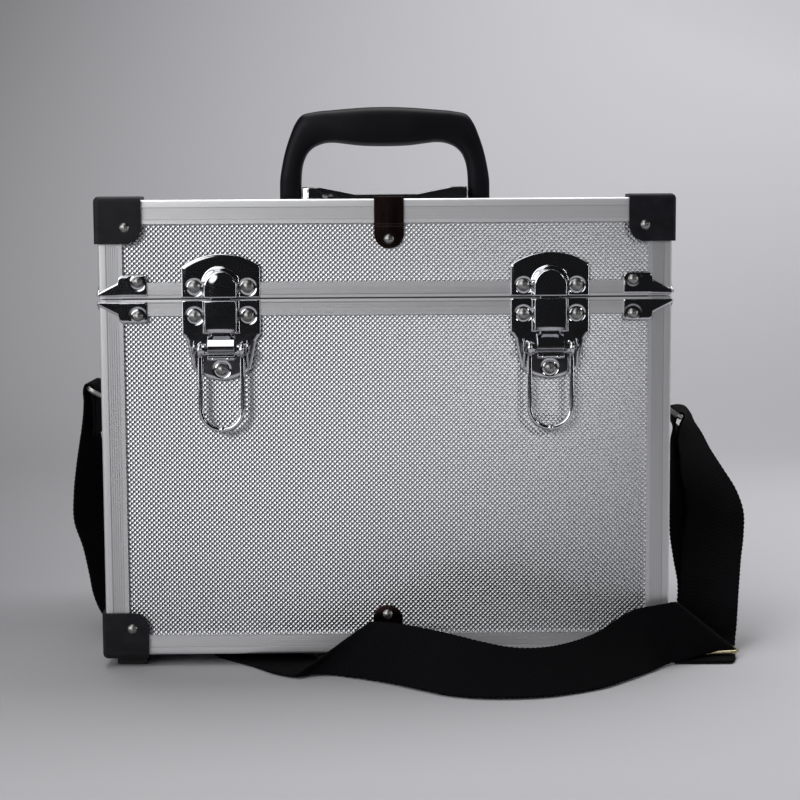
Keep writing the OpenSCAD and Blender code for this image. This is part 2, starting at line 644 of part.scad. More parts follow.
// Bail: a wire bow whose legs turn round the pivot rivets, with a crank pin between two discs.
// Drawn at a latch, hanging down from the pivot.
pivot_head = 0.8;
crank_x = 9.2;
crank_t = 1.6;
crank_end = crank_x + 0.7;
disc_x = crank_x + 0.4;
eye_r = pivot_r + pin_gap + bail_wire_r;
disc_r = eye_r + 0.6;
disc_gap = pin_gap + 0.04;
module bail() color("lightslategray") translate([0, -pivot_drop, pivot_y]) {
  bow_r = bail_w / 2;
  for (m = [0, 1]) mirror([m, 0, 0]) {
    translate([bail_w / 2, -eye_r, 0]) rotate([90, 0, 0])
      cylinder(r = bail_wire_r, h = bail_l - bow_r - eye_r);
    translate([bail_w / 2, 0, 0]) rotate([0, 90, 0])
      rotate_extrude() translate([eye_r, 0]) circle(bail_wire_r);
    translate([disc_x, 0, 0]) rotate([0, 90, 0]) difference() {
      cylinder(r = disc_r, h = crank_t);
      translate([0, 0, -1]) cylinder(r = pivot_r + disc_gap, h = crank_t + 2);
    }
  }
  translate([0, -bail_l + bow_r, 0]) rotate([0, 0, 180]) rotate_extrude(angle = 180)
    translate([bow_r, 0]) circle(bail_wire_r);
  translate([0, -crank_throw, 0]) rotate([0, 90, 0])
    cylinder(r = crank_pin_r, h = 2 * crank_end, center = true);
}
module latch_left_bail() at_latch(-1) bail();
module latch_right_bail() at_latch(1) bail();

// Hook: a flat bar under the channel with a lip at its top, widened into a lug round the crank pin
hook_z = channel_rise - hook_t - 1.6;
hook_lip_h = 2;
hook_lip_t = hook_t + 0.9;
lug_w = 2 * (crank_x - 1.2);
lug_top = -base_top - channel_l - 1.6;
lug_out = pivot_y + crank_pin_r + 1.8;
lug_brow = -pivot_drop + 2.2;
lug_foot = -pivot_drop - crank_throw - 4;
lug_bevel = 1;
slot_side = 0.4;
module hook() color("silver") difference() {
  union() {
    translate([-hook_w / 2, lug_top, hook_z]) cube([hook_w, hook_top - lug_top, hook_t]);
    translate([-hook_w / 2, hook_top - hook_lip_h, hook_z]) cube([hook_w, hook_lip_h, hook_lip_t]);
    rotate([90, 0, 90]) linear_extrude(lug_w, center = true) polygon([
      [lug_top, hook_z], [lug_top, hook_z + hook_t], [lug_brow, lug_out],
      [lug_foot + lug_bevel, lug_out], [lug_foot, lug_out - lug_bevel], [lug_foot, hook_z]]);
  }
  translate([-lug_w, -pivot_drop - crank_throw - crank_pin_r - crank_room,
    pivot_y - crank_pin_r - slot_side])
    cube([2 * lug_w, 2 * (crank_pin_r + crank_room), crank_throw + 2 * (crank_pin_r + slot_side)]);
}
module latch_left_hook() at_latch(-1) hook();
module latch_right_hook() at_latch(1) hook();

// Handle, drawn with its seat at z = 0. Half of its outline as [outer x, outer z, inner x, inner z],
// from the leg to the middle of the grip, drawn for the width, height and leg width in drawn_size
seat_z = top_z - skin_in;
drawn_size = [134.4, 60.6, 13.6];
handle_half = [
  [67.2, 7, 53.6, 7], [66.9, 15, 53.5, 15], [65.6, 23, 53, 21.5], [63.4, 33, 51.6, 27.5],
  [60, 43, 48.6, 33], [56.6, 50.5, 44.4, 36.4], [52.6, 55.6, 39, 38.4], [45, 57.6, 33.5, 38.9],
  [32, 58.9, 26, 38.2], [18, 60, 16, 37], [8, 60.5, 8, 36.6], [0, 60.6, 0, 36.5]];
handle_grow = [handle_w / drawn_size[0], handle_h / drawn_size[1], handle_leg_w / drawn_size[2]];
function station(p) = let (x = p[0] * handle_grow[0], z = p[1] * handle_grow[1])
  [[x - (p[0] - p[2]) * handle_grow[2], 0, z - (p[1] - p[3]) * handle_grow[2]], [x, 0, z]];
handle_last = len(handle_half) - 1;
function handle_stations() = concat(
  [for (i = [0:handle_last]) station(handle_half[i])],
  [for (i = [1:handle_last]) let (s = station(handle_half[handle_last - i]))
    [[-s[0][0], 0, s[0][2]], [-s[1][0], 0, s[1][2]]]]);
grip_sides = 16;
grip_square = 0.75;
leg_share = 0.25;
swell_share = 0.6;
// Rounded oval across the handle: one superellipse round each station's middle
function oval(s, depth) = let (m = (s[0] + s[1]) / 2, h = (s[1] - s[0]) / 2)
  [for (k = [0:grip_sides - 1]) let (a = 360 * k / grip_sides,
    c = sign(cos(a)) * pow(abs(cos(a)), grip_square), d = sign(sin(a)) * pow(abs(sin(a)), grip_square))
    m + h * c + [0, d * depth / 2, 0]];
function grip_depth(i, n) = let (u = min(i, n - 1 - i) / ((n - 1) / 2))
  u == 0 ? 2 * leg_end_r :
  handle_leg_d + (grip_d - handle_leg_d) * pow(sin(90 * min(1, max(0, (u - leg_share) / swell_share))), 2);
pin_start = 3;
// Both halves of a ring split their faces along the same diagonal, so that a twisted band keeps its thickness
function face_end(i, k, m) = k < m / 2 ? (i + 1) * m + (k + 1) % m : i * m + (k + 1) % m;
function face_start(i, k, m) = k < m / 2 ? i * m + k : (i + 1) * m + k;
module tube(rings) {
  n = len(rings);
  m = len(rings[0]);
  polyhedron(points = [for (r = rings) for (p = r) p], faces = concat(
    [[for (k = [0:m - 1]) k]], [[for (k = [m - 1:-1:0]) (n - 1) * m + k]],
    [for (i = [0:n - 2]) for (k = [0:m - 1]) [i * m + k, (i + 1) * m + k, face_end(i, k, m)]],
    [for (i = [0:n - 2]) for (k = [0:m - 1]) [face_start(i, k, m), (i + 1) * m + (k + 1) % m, i * m + (k + 1) % m]]));
}
module handle_grip() color("#1a1a1c") translate([0, 0, seat_z]) {
  stations = handle_stations();
  difference() {
    union() {
      tube([for (i = [0:len(stations) - 1]) oval(stations[i], grip_depth(i, len(stations)))]);
      for (m = [0, 1]) mirror([m, 0, 0]) translate([handle_w / 2 - handle_leg_w, 0, handle_pivot_h])
        rotate([0, 90, 0]) cylinder(r = leg_end_r, h = handle_leg_w);
    }
    for (m = [0, 1]) mirror([m, 0, 0]) translate([handle_w / 2 - handle_leg_w - pin_start, 0, handle_pivot_h])
      rotate([0, 90, 0]) cylinder(r = handle_pin_r + pin_gap, h = handle_leg_w - 1);
  }
}
bracket_half = handle_w / 2 - handle_leg_w - bracket_gap;
bracket_end_l = 10;
bracket_low = bracket_half * 0.38;
bracket_rivet_x = bracket_half * 0.6;
bracket_end_t = 1.8;
module bracket_side() polygon([[-bracket_half, 0], [bracket_half, 0], [bracket_half, bracket_end_h],
  [bracket_half - bracket_end_l, bracket_end_h], [bracket_low, bracket_mid_h], [-bracket_low, bracket_mid_h],
  [-bracket_half + bracket_end_l, bracket_end_h], [-bracket_half, bracket_end_h]]);
module handle_bracket() color("lightslategray") translate([0, 0, seat_z]) difference() {
  union() {
    translate([-bracket_half, -bracket_d / 2, 0]) cube([2 * bracket_half, bracket_d, bracket_t]);
    for (y = [-bracket_d / 2 + bracket_t, bracket_d / 2]) translate([0, y, 0]) rotate([90, 0, 0])
      linear_extrude(bracket_t) bracket_side();
    for (m = [0, 1]) mirror([m, 0, 0]) translate([bracket_half - bracket_end_t, -bracket_d / 2, 0])
      cube([bracket_end_t, bracket_d, bracket_end_h]);
  }
  translate([0, 0, handle_pivot_h]) rotate([0, 90, 0]) cylinder(r = handle_pin_r, h = 3 * bracket_half, center = true);
  for (x = [-1, 1]) translate([x * bracket_rivet_x, 0, bracket_t]) shank_hole(bracket_t);
}
pin_head_t = 1.6;
pin_head_x = bracket_half - bracket_end_t - pin_head_t;
module handle_pins() color("silver") translate([0, 0, seat_z + handle_pivot_h]) for (m = [0, 1])
  mirror([m, 0, 0]) rotate([0, 90, 0]) {
    translate([0, 0, pin_head_x]) cylinder(r = handle_pin_r, h = handle_leg_w - 1);
    translate([0, 0, pin_head_x]) cylinder(r = handle_pin_r + 1.2, h = pin_head_t);
  }

// Strap ring, drawn from its pivot along +X, with its wire round a rounded rectangle
module ring() color("#8c7a45") {
  y = ring_w / 2 - ring_r;
  rotate([90, 0, 0]) cylinder(r = ring_wire_r, h = 2 * y, center = true);
  translate([ring_l, 0, 0]) rotate([90, 0, 0]) cylinder(r = ring_wire_r, h = 2 * y, center = true);
  for (m = [0, 1]) mirror([0, m, 0]) {
    translate([ring_r, y, 0]) rotate([0, 0, 90]) rotate_extrude(angle = 90)
      translate([ring_r, 0]) circle(ring_wire_r);
    translate([ring_l - ring_r, y, 0]) rotate_extrude(angle = 90)
      translate([ring_r, 0]) circle(ring_wire_r);
    translate([ring_r, ring_w / 2, 0]) rotate([0, 90, 0])
      cylinder(r = ring_wire_r, h = ring_l - 2 * ring_r);
  }
}
panel_x = half_w - skin_in;
module right_ring() translate([panel_x + ring_out, 0, ring_z]) rotate([0, -ring_tilt_right, 0]) ring();
module left_ring() mirror([1, 0, 0]) translate([panel_x + ring_out, 0, ring_z])
  rotate([0, -ring_tilt_left, 0]) ring();
tube_r = ring_wire_r + pin_gap + chape_t;
chape_rivet_z = [-chape_h + 11, 7.5];
chape_foot = -chape_h + 6;
chape_top = 12;
chape_slot = 0.8;
module chape() color("silver") translate([panel_x, 0, ring_z]) difference() {
  union() {
    translate([0, -chape_w / 2, chape_foot]) cube([chape_t, chape_w, chape_top - chape_foot]);
    translate([ring_out, 0, 0]) rotate([90, 0, 0]) cylinder(r = tube_r, h = chape_w, center = true);
    translate([0, -chape_w / 2, -tube_r]) cube([ring_out, chape_w, tube_r - chape_slot]);
  }
  translate([ring_out, 0, 0]) rotate([90, 0, 0])
    cylinder(r = ring_wire_r + pin_gap, h = chape_w + 2, center = true);
  for (z = chape_rivet_z) translate([chape_t, 0, z]) rotate([90, 0, 90]) shank_hole(chape_t);
}
module ring_chapes() at_sides() chape();

// All rivets on the body, then all rivets on the lid
module body_rivets() color("silver") {
  at_corners() translate([0, 0, base_z]) guard_rivets();
  at_corners() translate([0, 0, seam_z - brace_seam]) mirror([0, 0, 1]) brace_rivets();
  for (m = [0, 1]) mirror([0, m, 0]) translate([0, 0, base_z]) clip_rivets();
  at_hinges() hinge_leaf_rivets();
  at_latches() {
    for (x = [-rivet_x, rivet_x]) translate([x, -base_rivet_y, latch_t]) rivet(latch_rivet_d, latch_t);
    translate([0, -foot_rivet_y, latch_t]) rivet(latch_rivet_d, latch_t);
  }
  at_sides() for (z = chape_rivet_z) translate([panel_x + chape_t, 0, ring_z + z])
    rotate([90, 0, 90]) rivet(rivet_d, chape_t);
}
module lid_rivets() color("silver") {
  translate([0, 0, top_z]) mirror([0, 0, 1]) at_corners() {
    guard_rivets();
    translate([-half_w + guard_rivet, -half_d + guard_rivet, -guard_t])
      cylinder(r = shank_d / 2, h = guard_t);
  }
  at_corners() translate([0, 0, lid_z + brace_seam]) brace_rivets();
  for (m = [0, 1]) mirror([0, m, 0]) translate([lid_clip_x, 0, top_z]) mirror([0, 0, 1]) clip_rivets();
  at_hinges() mirror([0, 0, 1]) hinge_leaf_rivets();
  at_latches() for (x = [-rivet_x, rivet_x]) translate([x, keeper_rivet_y + seam_gap, latch_t])
    rivet(latch_rivet_d, latch_t);
  for (x = [-1, 1]) translate([x * bracket_rivet_x, 0, seat_z + bracket_t]) rivet(latch_rivet_d, bracket_t);
}

// Strap webbing: a ribbon through hand-chosen stations [front or lower edge, rear or upper edge]
function unit(v) = v / norm(v);
function square_to(v, u) = unit(v - u * (v * u));
function middle(s) = (s[0] + s[1]) / 2;
function across(s) = unit(s[1] - s[0]);
function facing(route, i) = let (u = across(route[i]), n = len(route) - 1,
  a = i > 0 ? cross(square_to(middle(route[i]) - middle(route[i - 1]), u), u) : [0, 0, 0],
  b = i < n ? cross(square_to(middle(route[i + 1]) - middle(route[i]), u), u) : [0, 0, 0])
  unit(a + b);
selvedge = 0.8;
function web_ring(s, n) = let (u = across(s), h = web_t / 2, e = selvedge) [
  s[0] - n * h * 0.5, s[0] + u * e - n * h, s[1] - u * e - n * h, s[1] - n * h * 0.5,
  s[1] + n * h * 0.5, s[1] - u * e + n * h, s[0] + u * e + n * h, s[0] + n * h * 0.5];
module ribbon(route) tube([for (i = [0:len(route) - 1]) web_ring(route[i], facing(route, i))]);
web_half = 19;
function level(x, z) = [[x, -web_half, z], [x, web_half, z]];
left_bar = [-190.6, 158.6];
right_bar = [189.3, 137.2];
bar_r = 2.7;
left_loop_route = concat([level(-187.6, 128), level(-187.2, 140), level(-187.4, 150)],
  [for (a = [0:45:180]) level(left_bar[0] + bar_r * cos(a), left_bar[1] + bar_r * sin(a))],
  [level(-193.4, 150), [[-194.2, -19, 140], [-192, 18.9, 140]], [[-196, -19, 128], [-190.4, 18.6, 128]]]);
main_route = [
  [[-196, -19, 128], [-190.4, 18.6, 128]], [[-199.4, -18, 108], [-187.6, 18, 108]],
  [[-201.6, -17.4, 90], [-186.2, 17.3, 90]], [[-202, -17, 72], [-185, 17, 72]],
  [[-200, -17.4, 55], [-183.6, 17, 55]], [[-195, -18, 37], [-181, 17.4, 37]],
  [[-190, -18.6, 24], [-178.6, 17.6, 24]], [[-182.6, -19, 11], [-174, 18, 11]],
  [[-175, -20, 3.6], [-167.6, 17.4, 3.6]], [[-162, -22, 1.4], [-152, 14.7, 1.4]],
  [[-148, -28, 1.2], [-130, 5.5, 1.2]], [[-133, -44, 1.2], [-107, -16, 1.2]],
  [[-117, -68, 1.2], [-89, -42, 1.2]], [[-99, -98, 1.2], [-70, -73.5, 1.2]],
  [[-80, -118, 1.2], [-50, -95, 1.2]], [[-66, -136, 1.2], [-38, -110, 2.4]],
  [[-58, -143, 1.4], [-28, -117, 6.6]], [[-54, -145, 1.6], [-18, -120, 16]],
  [[-52, -145, 2], [-10, -122, 28]], [[-48, -141, 1.6], [-7, -124, 28.6]],
  [[-36, -139, 1.2], [-4, -126, 28.8]], [[-20, -146, 1.2], [-1, -129, 29]],
  [[-3, -157, 1.2], [5, -133, 29.2]], [[17, -174, 1.2], [21, -146, 29.2]],
  [[35, -188, 1.2], [38, -159, 28]], [[52, -194, 1.2], [54, -165, 25.4]],
  [[68, -195, 1.2], [70, -166, 22.6]], [[84, -193, 1.2], [86, -163, 21.4]],
  [[103, -185, 1.2], [102, -155, 21.6]], [[122, -173, 1.2], [116, -146, 23.8]],
  [[140, -154, 1.2], [128, -132, 26]], [[155, -136, 1.2], [142, -122, 32]],
  [[170, -118.8, 1.6], [153, -118.8, 35]], [[179.5, -115.6, 2.6], [156.5, -119.6, 35.8]],
  [[188, -110.4, 3.6], [160, -119.8, 36.6]],
  [[204, -102.4, 4.4], [166, -119.4, 37.4]], [[209.6, -99.6, 4.8], [170, -118.2, 37.8]],
  [[211.6, -96.6, 5.2], [173, -114, 35.6]], [[211.8, -95, 4.8], [174.6, -109, 24]],
  [[211.8, -94, 4.4], [175, -103, 10]]];
right_front_run = [
  [[174, -118.4, 1.2], [209, -118.4, 1.2]], [[174, -108, 1.2], [209.6, -108, 1.2]],
  [[174.2, -97, 1.2], [210.8, -97, 1.2]], [[174.6, -89.5, 2.2], [211.8, -89.5, 2.2]],
  [[175.4, -85, 7], [213, -84.6, 7]], [[176.8, -82.4, 15], [214.6, -81.4, 15]],
  [[179, -78, 26], [216.4, -76, 26]], [[181.4, -70, 38], [219, -67, 38]],
  [[184, -59, 52], [221.8, -56, 52]], [[187, -50, 66], [225.4, -45, 66]],
  [[189.4, -43.5, 79], [226.8, -37, 79]], [[189, -41, 91], [224, -26.5, 91]],
  [[187.6, -37.5, 103], [219, -16.5, 103]], [[187.6, -32, 114], [211.4, -2.5, 114]],
  [[189.2, -24.4, 125], [201.8, 11.4, 125]]];
right_rear_run = [
  level(186.5, 134.6),
  [[184, -23.2, 125], [196.6, 12.6, 125]], [[181.2, -30.6, 114], [205, -1, 114]],
  [[177.8, -38, 103], [209.4, -16.8, 103]], [[177.4, -40.4, 91], [212.4, -25.8, 91]],
  [[177, -41, 79], [214.4, -34.4, 79]], [[178.2, -47.2, 66], [216.4, -42.2, 66]],
  [[178.8, -55.6, 52], [216.4, -52.6, 52]], [[179.2, -66, 38], [216.6, -63, 38]],
  [[178, -74, 26], [215.4, -72, 26]], [[177, -78, 16], [214.4, -77, 16]]];
function finer(route) = [for (i = [0:len(route) - 1]) each i < len(route) - 1
  ? [route[i], (route[i] + route[i + 1]) / 2] : [route[i]]];
right_loop_route = concat(finer(right_front_run),
  [for (a = [0:45:180]) level(right_bar[0] + bar_r * cos(a), right_bar[1] + bar_r * sin(a))],
  finer(right_rear_run));
module strap_left_loop() color("#161618") ribbon(left_loop_route);
module strap_main() color("#161618") difference() {
  ribbon(main_route);
  slider_wire(slider_wire_r + slider_gap);
}
module strap_right_loop() color("#161618") difference() {
  ribbon(right_loop_route);
  slider_wire(slider_wire_r + slider_gap);
}

// Slider: a wire frame that leans back through the webbing's turn, its front bar near the floor
slider_at = [193.8, -106.8, 4.4];
slider_w = 40;
slider_l = 14;
slider_lean = 24;
slider_yaw = 10;
slider_gap = 0.4;
module slider_wire(r) translate(slider_at) rotate([slider_lean, 0, slider_yaw]) {
  for (y = [0, slider_l]) translate([0, y, 0]) rotate([0, 90, 0])
    cylinder(r = r, h = slider_w, center = true);
  for (x = [-1, 1]) translate([x * slider_w / 2, 0, 0]) {
    rotate([-90, 0, 0]) cylinder(r = r, h = slider_l);
    for (y = [0, slider_l]) translate([0, y, 0]) sphere(r);
  }
}
module strap_slider() color("#a08446") slider_wire(slider_wire_r);

body_front_board();
body_rear_board();
body_left_board();
body_right_board();
body_bottom_board();
body_front_skin();
body_rear_skin();
body_left_skin();
body_right_skin();
body_bottom_skin();
body_corner_posts();
body_base_rails();
body_rim();
body_lining();
body_corner_guards();
body_seam_braces();
body_edge_clips();
body_rivets();
feet();
hinge_body_leaves();
hinge_pins();
latch_base_plates();
latch_pivot_rivets();
ring_chapes();
lid_top_board();
lid_front_board();
lid_rear_board();
lid_left_board();
lid_right_board();
lid_top_skin();
lid_front_skin();
lid_rear_skin();
lid_left_skin();
lid_right_skin();
lid_corner_posts();
lid_top_rails();
lid_rim();
lid_lining();
lid_corner_guards();
lid_seam_braces();
lid_edge_clips();
lid_rivets();
hinge_lid_leaves();
latch_keepers();
handle_bracket();
handle_pins();
handle_grip();
latch_left_bail();
latch_right_bail();
latch_left_hook();
latch_right_hook();
left_ring();
right_ring();
strap_left_loop();
strap_main();
strap_right_loop();
strap_slider();
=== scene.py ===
"""Looks of an aluminium-framed tool case: studded sheets in brushed edge profiles, chromed latches and
braces, black plastic guards and handle, and a webbing strap that lies round the case's front right corner.
Metres, as the CAD."""

import json

import bmesh
import bpy
import numpy as np
from mathutils import Matrix, Vector

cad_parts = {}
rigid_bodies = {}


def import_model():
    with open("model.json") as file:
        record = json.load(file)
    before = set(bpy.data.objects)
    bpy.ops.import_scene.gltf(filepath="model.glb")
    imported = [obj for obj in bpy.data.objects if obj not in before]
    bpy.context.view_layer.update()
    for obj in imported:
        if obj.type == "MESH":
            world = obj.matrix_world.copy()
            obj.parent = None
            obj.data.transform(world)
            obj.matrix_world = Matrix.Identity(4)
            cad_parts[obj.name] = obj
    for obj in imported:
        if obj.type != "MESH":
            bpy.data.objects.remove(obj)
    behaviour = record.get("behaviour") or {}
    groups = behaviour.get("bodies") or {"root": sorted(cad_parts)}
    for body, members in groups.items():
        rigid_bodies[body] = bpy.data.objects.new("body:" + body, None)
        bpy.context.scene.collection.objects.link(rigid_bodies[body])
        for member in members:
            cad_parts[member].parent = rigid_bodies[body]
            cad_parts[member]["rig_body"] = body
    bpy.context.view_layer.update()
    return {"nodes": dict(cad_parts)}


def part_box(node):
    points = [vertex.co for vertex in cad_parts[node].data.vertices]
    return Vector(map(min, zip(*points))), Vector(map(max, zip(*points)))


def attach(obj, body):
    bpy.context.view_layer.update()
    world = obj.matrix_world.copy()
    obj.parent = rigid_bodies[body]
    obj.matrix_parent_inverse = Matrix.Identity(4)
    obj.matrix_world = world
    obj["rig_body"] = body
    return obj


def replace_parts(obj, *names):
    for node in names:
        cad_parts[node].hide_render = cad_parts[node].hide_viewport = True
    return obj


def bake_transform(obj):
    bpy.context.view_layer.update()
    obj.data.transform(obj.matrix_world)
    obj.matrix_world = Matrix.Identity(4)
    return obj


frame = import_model()

# Viewpoint: the photograph was taken from 1.16 m in front of the case's middle, a little above its top edge,
# with a short telephoto lens. The angles were fitted to the case's corners and rivets.
camera_place = (-0.0005, -1.16, 0.262)
yaw, pitch, roll = np.radians([-0.47, 5.62, 0.349])
focal_pixels, picture_pixels, sensor_width = 1784.8, 800, 36


def linked(name, data):
    """An object of that name with that mesh, lamp or camera, put into the scene."""
    made = bpy.data.objects.new(name, data)
    bpy.context.scene.collection.objects.link(made)
    return made


to_right = np.array([np.cos(yaw), np.sin(yaw), 0])
ahead = np.array([-np.sin(yaw) * np.cos(pitch), np.cos(yaw) * np.cos(pitch), -np.sin(pitch)])
upward = np.array([-np.sin(yaw) * np.sin(pitch), np.cos(yaw) * np.sin(pitch), np.cos(pitch)])
camera_x = np.cos(roll) * to_right - np.sin(roll) * upward
camera_y = np.sin(roll) * to_right + np.cos(roll) * upward
lens = bpy.data.cameras.new("viewpoint")
lens.sensor_width = sensor_width
lens.lens = focal_pixels / picture_pixels * sensor_width
lens.clip_start, lens.clip_end = 0.05, 20
camera = linked("viewpoint", lens)
turned = Matrix(np.column_stack([camera_x, camera_y, -ahead]).tolist()).to_4x4()
camera.matrix_world = Matrix.Translation(camera_place) @ turned
bpy.context.scene.camera = camera
bpy.context.scene.view_settings.view_transform = "Standard"


# Studio: one sheet of pale paper that lies under the case and sweeps up behind it. It is not part of the
# case.
# Its colour carries painted light and shade: darker on the left and low down, lighter to the right, up the
# sweep and in front of the case.
class Level:
    """A number on its way through a finish. Sums and comparisons written on it add Math nodes."""

    def __init__(self, finish, socket):
        self.finish, self.socket = finish, socket

    def into(self, operation, *others):
        """That operation on this number, and on the others where it takes more than one."""
        return self.finish.node("ShaderNodeMath", {"operation": operation}, dict(enumerate((self, *others))))

    def __add__(self, other):
        return self.into("ADD", other)

    __radd__ = __add__

    def __sub__(self, other):
        return self.into("SUBTRACT", other)

    def __rsub__(self, other):
        return self.into("MULTIPLY_ADD", -1, other)

    def __mul__(self, other):
        return self.into("MULTIPLY", other)

    __rmul__ = __mul__

    def __truediv__(self, other):
        return self.into("DIVIDE", other)

    def __pow__(self, other):
        return self.into("POWER", other)

    def __abs__(self):
        return self.into("ABSOLUTE")

    def __gt__(self, other):
        return self.into("GREATER_THAN", other)

    def __lt__(self, other):
        return self.into("LESS_THAN", other)


class Finish:
    """One surface finish: a Principled shader whose fixed sockets are set by name."""

    def __init__(self, name, **fixed):
        self.material = bpy.data.materials.new(name)
        self.material.use_nodes = True
        self.tree = self.material.node_tree
        self.shader = self.tree.nodes["Principled BSDF"]
        for socket, value in fixed.items():
            self.shader.inputs[socket.replace("_", " ")].default_value = value

    def node(self, kind, settings=None, sockets=None, out=0):
        """Adds a node of that kind: its settings, then a value or a link on each named or numbered socket."""
        made = self.tree.nodes.new(kind)
        for name, value in (settings or {}).items():
            setattr(made, name, value)
        for name, value in (sockets or {}).items():
            if isinstance(value, Level):
                self.tree.links.new(value.socket, made.inputs[name])
            else:
                made.inputs[name].default_value = value
        return Level(self, made.outputs[out])

    def feed(self, socket, level):
        """Links a number, colour or normal to one of the shader's own sockets."""
        self.tree.links.new(level.socket, self.shader.inputs[socket])

    def place(self):
        """Where a point of the piece is, in metres."""
        return self.node("ShaderNodeTexCoord", out="Object")

    def parts(self, vector, count=3):
        """The first numbers of a vector, each for itself."""
        return [self.node("ShaderNodeSeparateXYZ", sockets={0: vector}, out=i) for i in range(count)]

    def cloud(self, vector, scale, detail=2.0, rough=0.5):
        """Soft noise round one half. Its scale is one number, or three where it is drawn out on an axis."""
        if np.ndim(scale):
            vector = self.node("ShaderNodeVectorMath", {"operation": "MULTIPLY"}, {0: vector, 1: scale})
            scale = 1.0
        return self.node("ShaderNodeTexNoise", sockets={
            "Vector": vector, "Scale": scale, "Detail": detail, "Roughness": rough})

    def between(self, share, low, high):
        """A colour between two, by a share from nought to one."""
        colours = {0: share, 6: (*low, 1), 7: (*high, 1)}
        return self.node("ShaderNodeMix", {"data_type": "RGBA"}, colours, out=2)

    def held(self, level):
        """A number kept from nought to one."""
        return self.node("ShaderNodeClamp", sockets={0: level})

    def coloured(self, share, low, high):
        """Feeds the base colour with a mix of two colours, by a share that is kept from nought to one."""
        self.feed("Base Color", self.between(self.held(share), low, high))

    def raised(self, height, depth, strength=1.0):
        """The normal of a surface whose height runs from nought to one over that depth in metres."""
        return self.node("ShaderNodeBump", sockets={
            "Height": height, "Distance": depth, "Strength": strength})


def grid_of(*parts):
    """Points from their three parts, which are brought to the same rows and columns."""
    return np.stack(np.broadcast_arrays(*parts), -1)


def cells_of(ids):
    """The faces of a grid of vertex numbers: the four round each cell."""
    return np.stack([ids[:-1, :-1], ids[:-1, 1:], ids[1:, 1:], ids[1:, :-1]], axis=-1).reshape(-1, 4)


def sheet_of(name, points, closed_round=False, closed_along=False):
    """A surface from a grid of points, rows by columns. The last column joins the first where the grid is
    closed round, and the last row joins the first where it is closed along."""
    rows, columns = points.shape[:2]
    ids = np.arange(rows * columns).reshape(rows, columns)
    if closed_round:
        ids = np.concatenate([ids, ids[:, :1]], axis=1)
    if closed_along:
        ids = np.concatenate([ids, ids[:1]], axis=0)
    mesh = bpy.data.meshes.new(name)
    mesh.from_pydata(points.reshape(-1, 3).tolist(), [], cells_of(ids).tolist())
    mesh.polygons.foreach_set("use_smooth", np.ones(len(mesh.polygons), bool))
    return linked(name, mesh)


sweep_radius, paper_front, paper_back, paper_side, paper_top = 0.7, -3.2, 1.5, 3.4, 3.2
paper_below, flat_rows, paper_columns = 0.0002, 19, 13
sweep_start, bend = paper_back - sweep_radius, np.linspace(0, np.pi / 2, 25)
paper_x = np.linspace(-paper_side, paper_side, paper_columns)
paper_y = np.concatenate([np.linspace(paper_front, sweep_start, flat_rows, endpoint=False),
                          sweep_start + sweep_radius * np.sin(bend), [paper_back]])
paper_z = np.concatenate([np.zeros(flat_rows), sweep_radius * (1 - np.cos(bend)), [paper_top]]) - paper_below
paper = sheet_of("studio_paper", grid_of(paper_x, paper_y[:, None], paper_z[:, None]))
paper_finish = Finish("studio paper", Roughness=0.85, Specular_IOR_Level=0.2)
across, along, height = paper_finish.parts(paper_finish.place())
in_front, behind = abs(along) - along, abs(along) + along
# Painted light and shade on the paper: lighter to the right, upwards and in front, darker on the left.
painted_paper_light = (0.34 + height * 1.14 - height * height * 0.6 + in_front * 0.125
            + across * (0.77 + height * 1.37 - across * 0.16 - in_front * 0.5 - behind * 0.3))
paper_finish.coloured(painted_paper_light, (0.175, 0.173, 0.183), (0.97, 0.963, 1.0))
paper.data.materials.append(paper_finish.material)

# Lamps: two large soft boxes stand on the left, a small one on the right and one above. Narrow strips edge
# the sides, and a wide strip overhead lights the paper behind. All are shaded, so that the floor far in front
# stays dark and the polished plates reflect that darkness. Powers are in watts, spreads in degrees.
for lamp_name, at, aim, wide, tall, power, spread in [
        ("soft_box_left", (-1.12, -1.15, 0.9), (-0.05, 0, 0.17), 1.2, 1.2, 5.2, 120),
        ("soft_box_low", (-0.75, -1.5, 0.62), (-0.1, 0, 0.15), 0.85, 0.8, 1.6, 120),
        ("soft_box_right", (0.86, -1.28, 0.72), (0.08, 0, 0.14), 0.2, 0.22, 0.38, 120),
        ("soft_box_top", (-0.42, -0.42, 1.3), (-0.15, -0.14, 0.2), 0.75, 0.8, 1.6, 120),
        ("strip_left", (-1.15, -0.32, 0.36), (0, -0.1, 0.16), 0.2, 0.6, 0.6, 120),
        ("strip_right", (1.15, -0.25, 0.36), (0, -0.1, 0.16), 0.12, 0.6, 0.5, 120),
        ("strip_overhead", (0.25, 0.45, 1.5), (0.25, 0.4, 0), 1.8, 0.8, 15, 150)]:
    lamp_data = bpy.data.lights.new(lamp_name, "AREA")
    lamp_data.shape, lamp_data.size, lamp_data.size_y, lamp_data.energy = "RECTANGLE", wide, tall, power
    lamp_data.spread = np.radians(spread)
    lamp = linked(lamp_name, lamp_data)
    lamp.location = at
    lamp.rotation_euler = (Vector(aim) - Vector(at)).to_track_quat("-Z", "Y").to_euler()
room = bpy.data.worlds.new("room")
room.use_nodes = True
room_light = room.node_tree.nodes["Background"].inputs
room_light["Color"].default_value = (0.93, 0.95, 1, 1)
room_light["Strength"].default_value = 0.012
bpy.context.scene.world = room

# Boards: plywood panels behind every face sheet, sawn to size and held in the profiles' slots. They stay
# hidden between the sheets and the lining.
board_finish = Finish("plywood", Roughness=0.62)
where = board_finish.place()
rings = board_finish.cloud(where, (6, 60, 90), 4.0)
fibre = board_finish.cloud(where, (40, 900, 900))
board_finish.coloured(rings * 1.3 - 0.15, (0.42, 0.28, 0.15), (0.68, 0.52, 0.33))
board_finish.feed("Normal", board_finish.raised(fibre, 0.0002, 0.4))


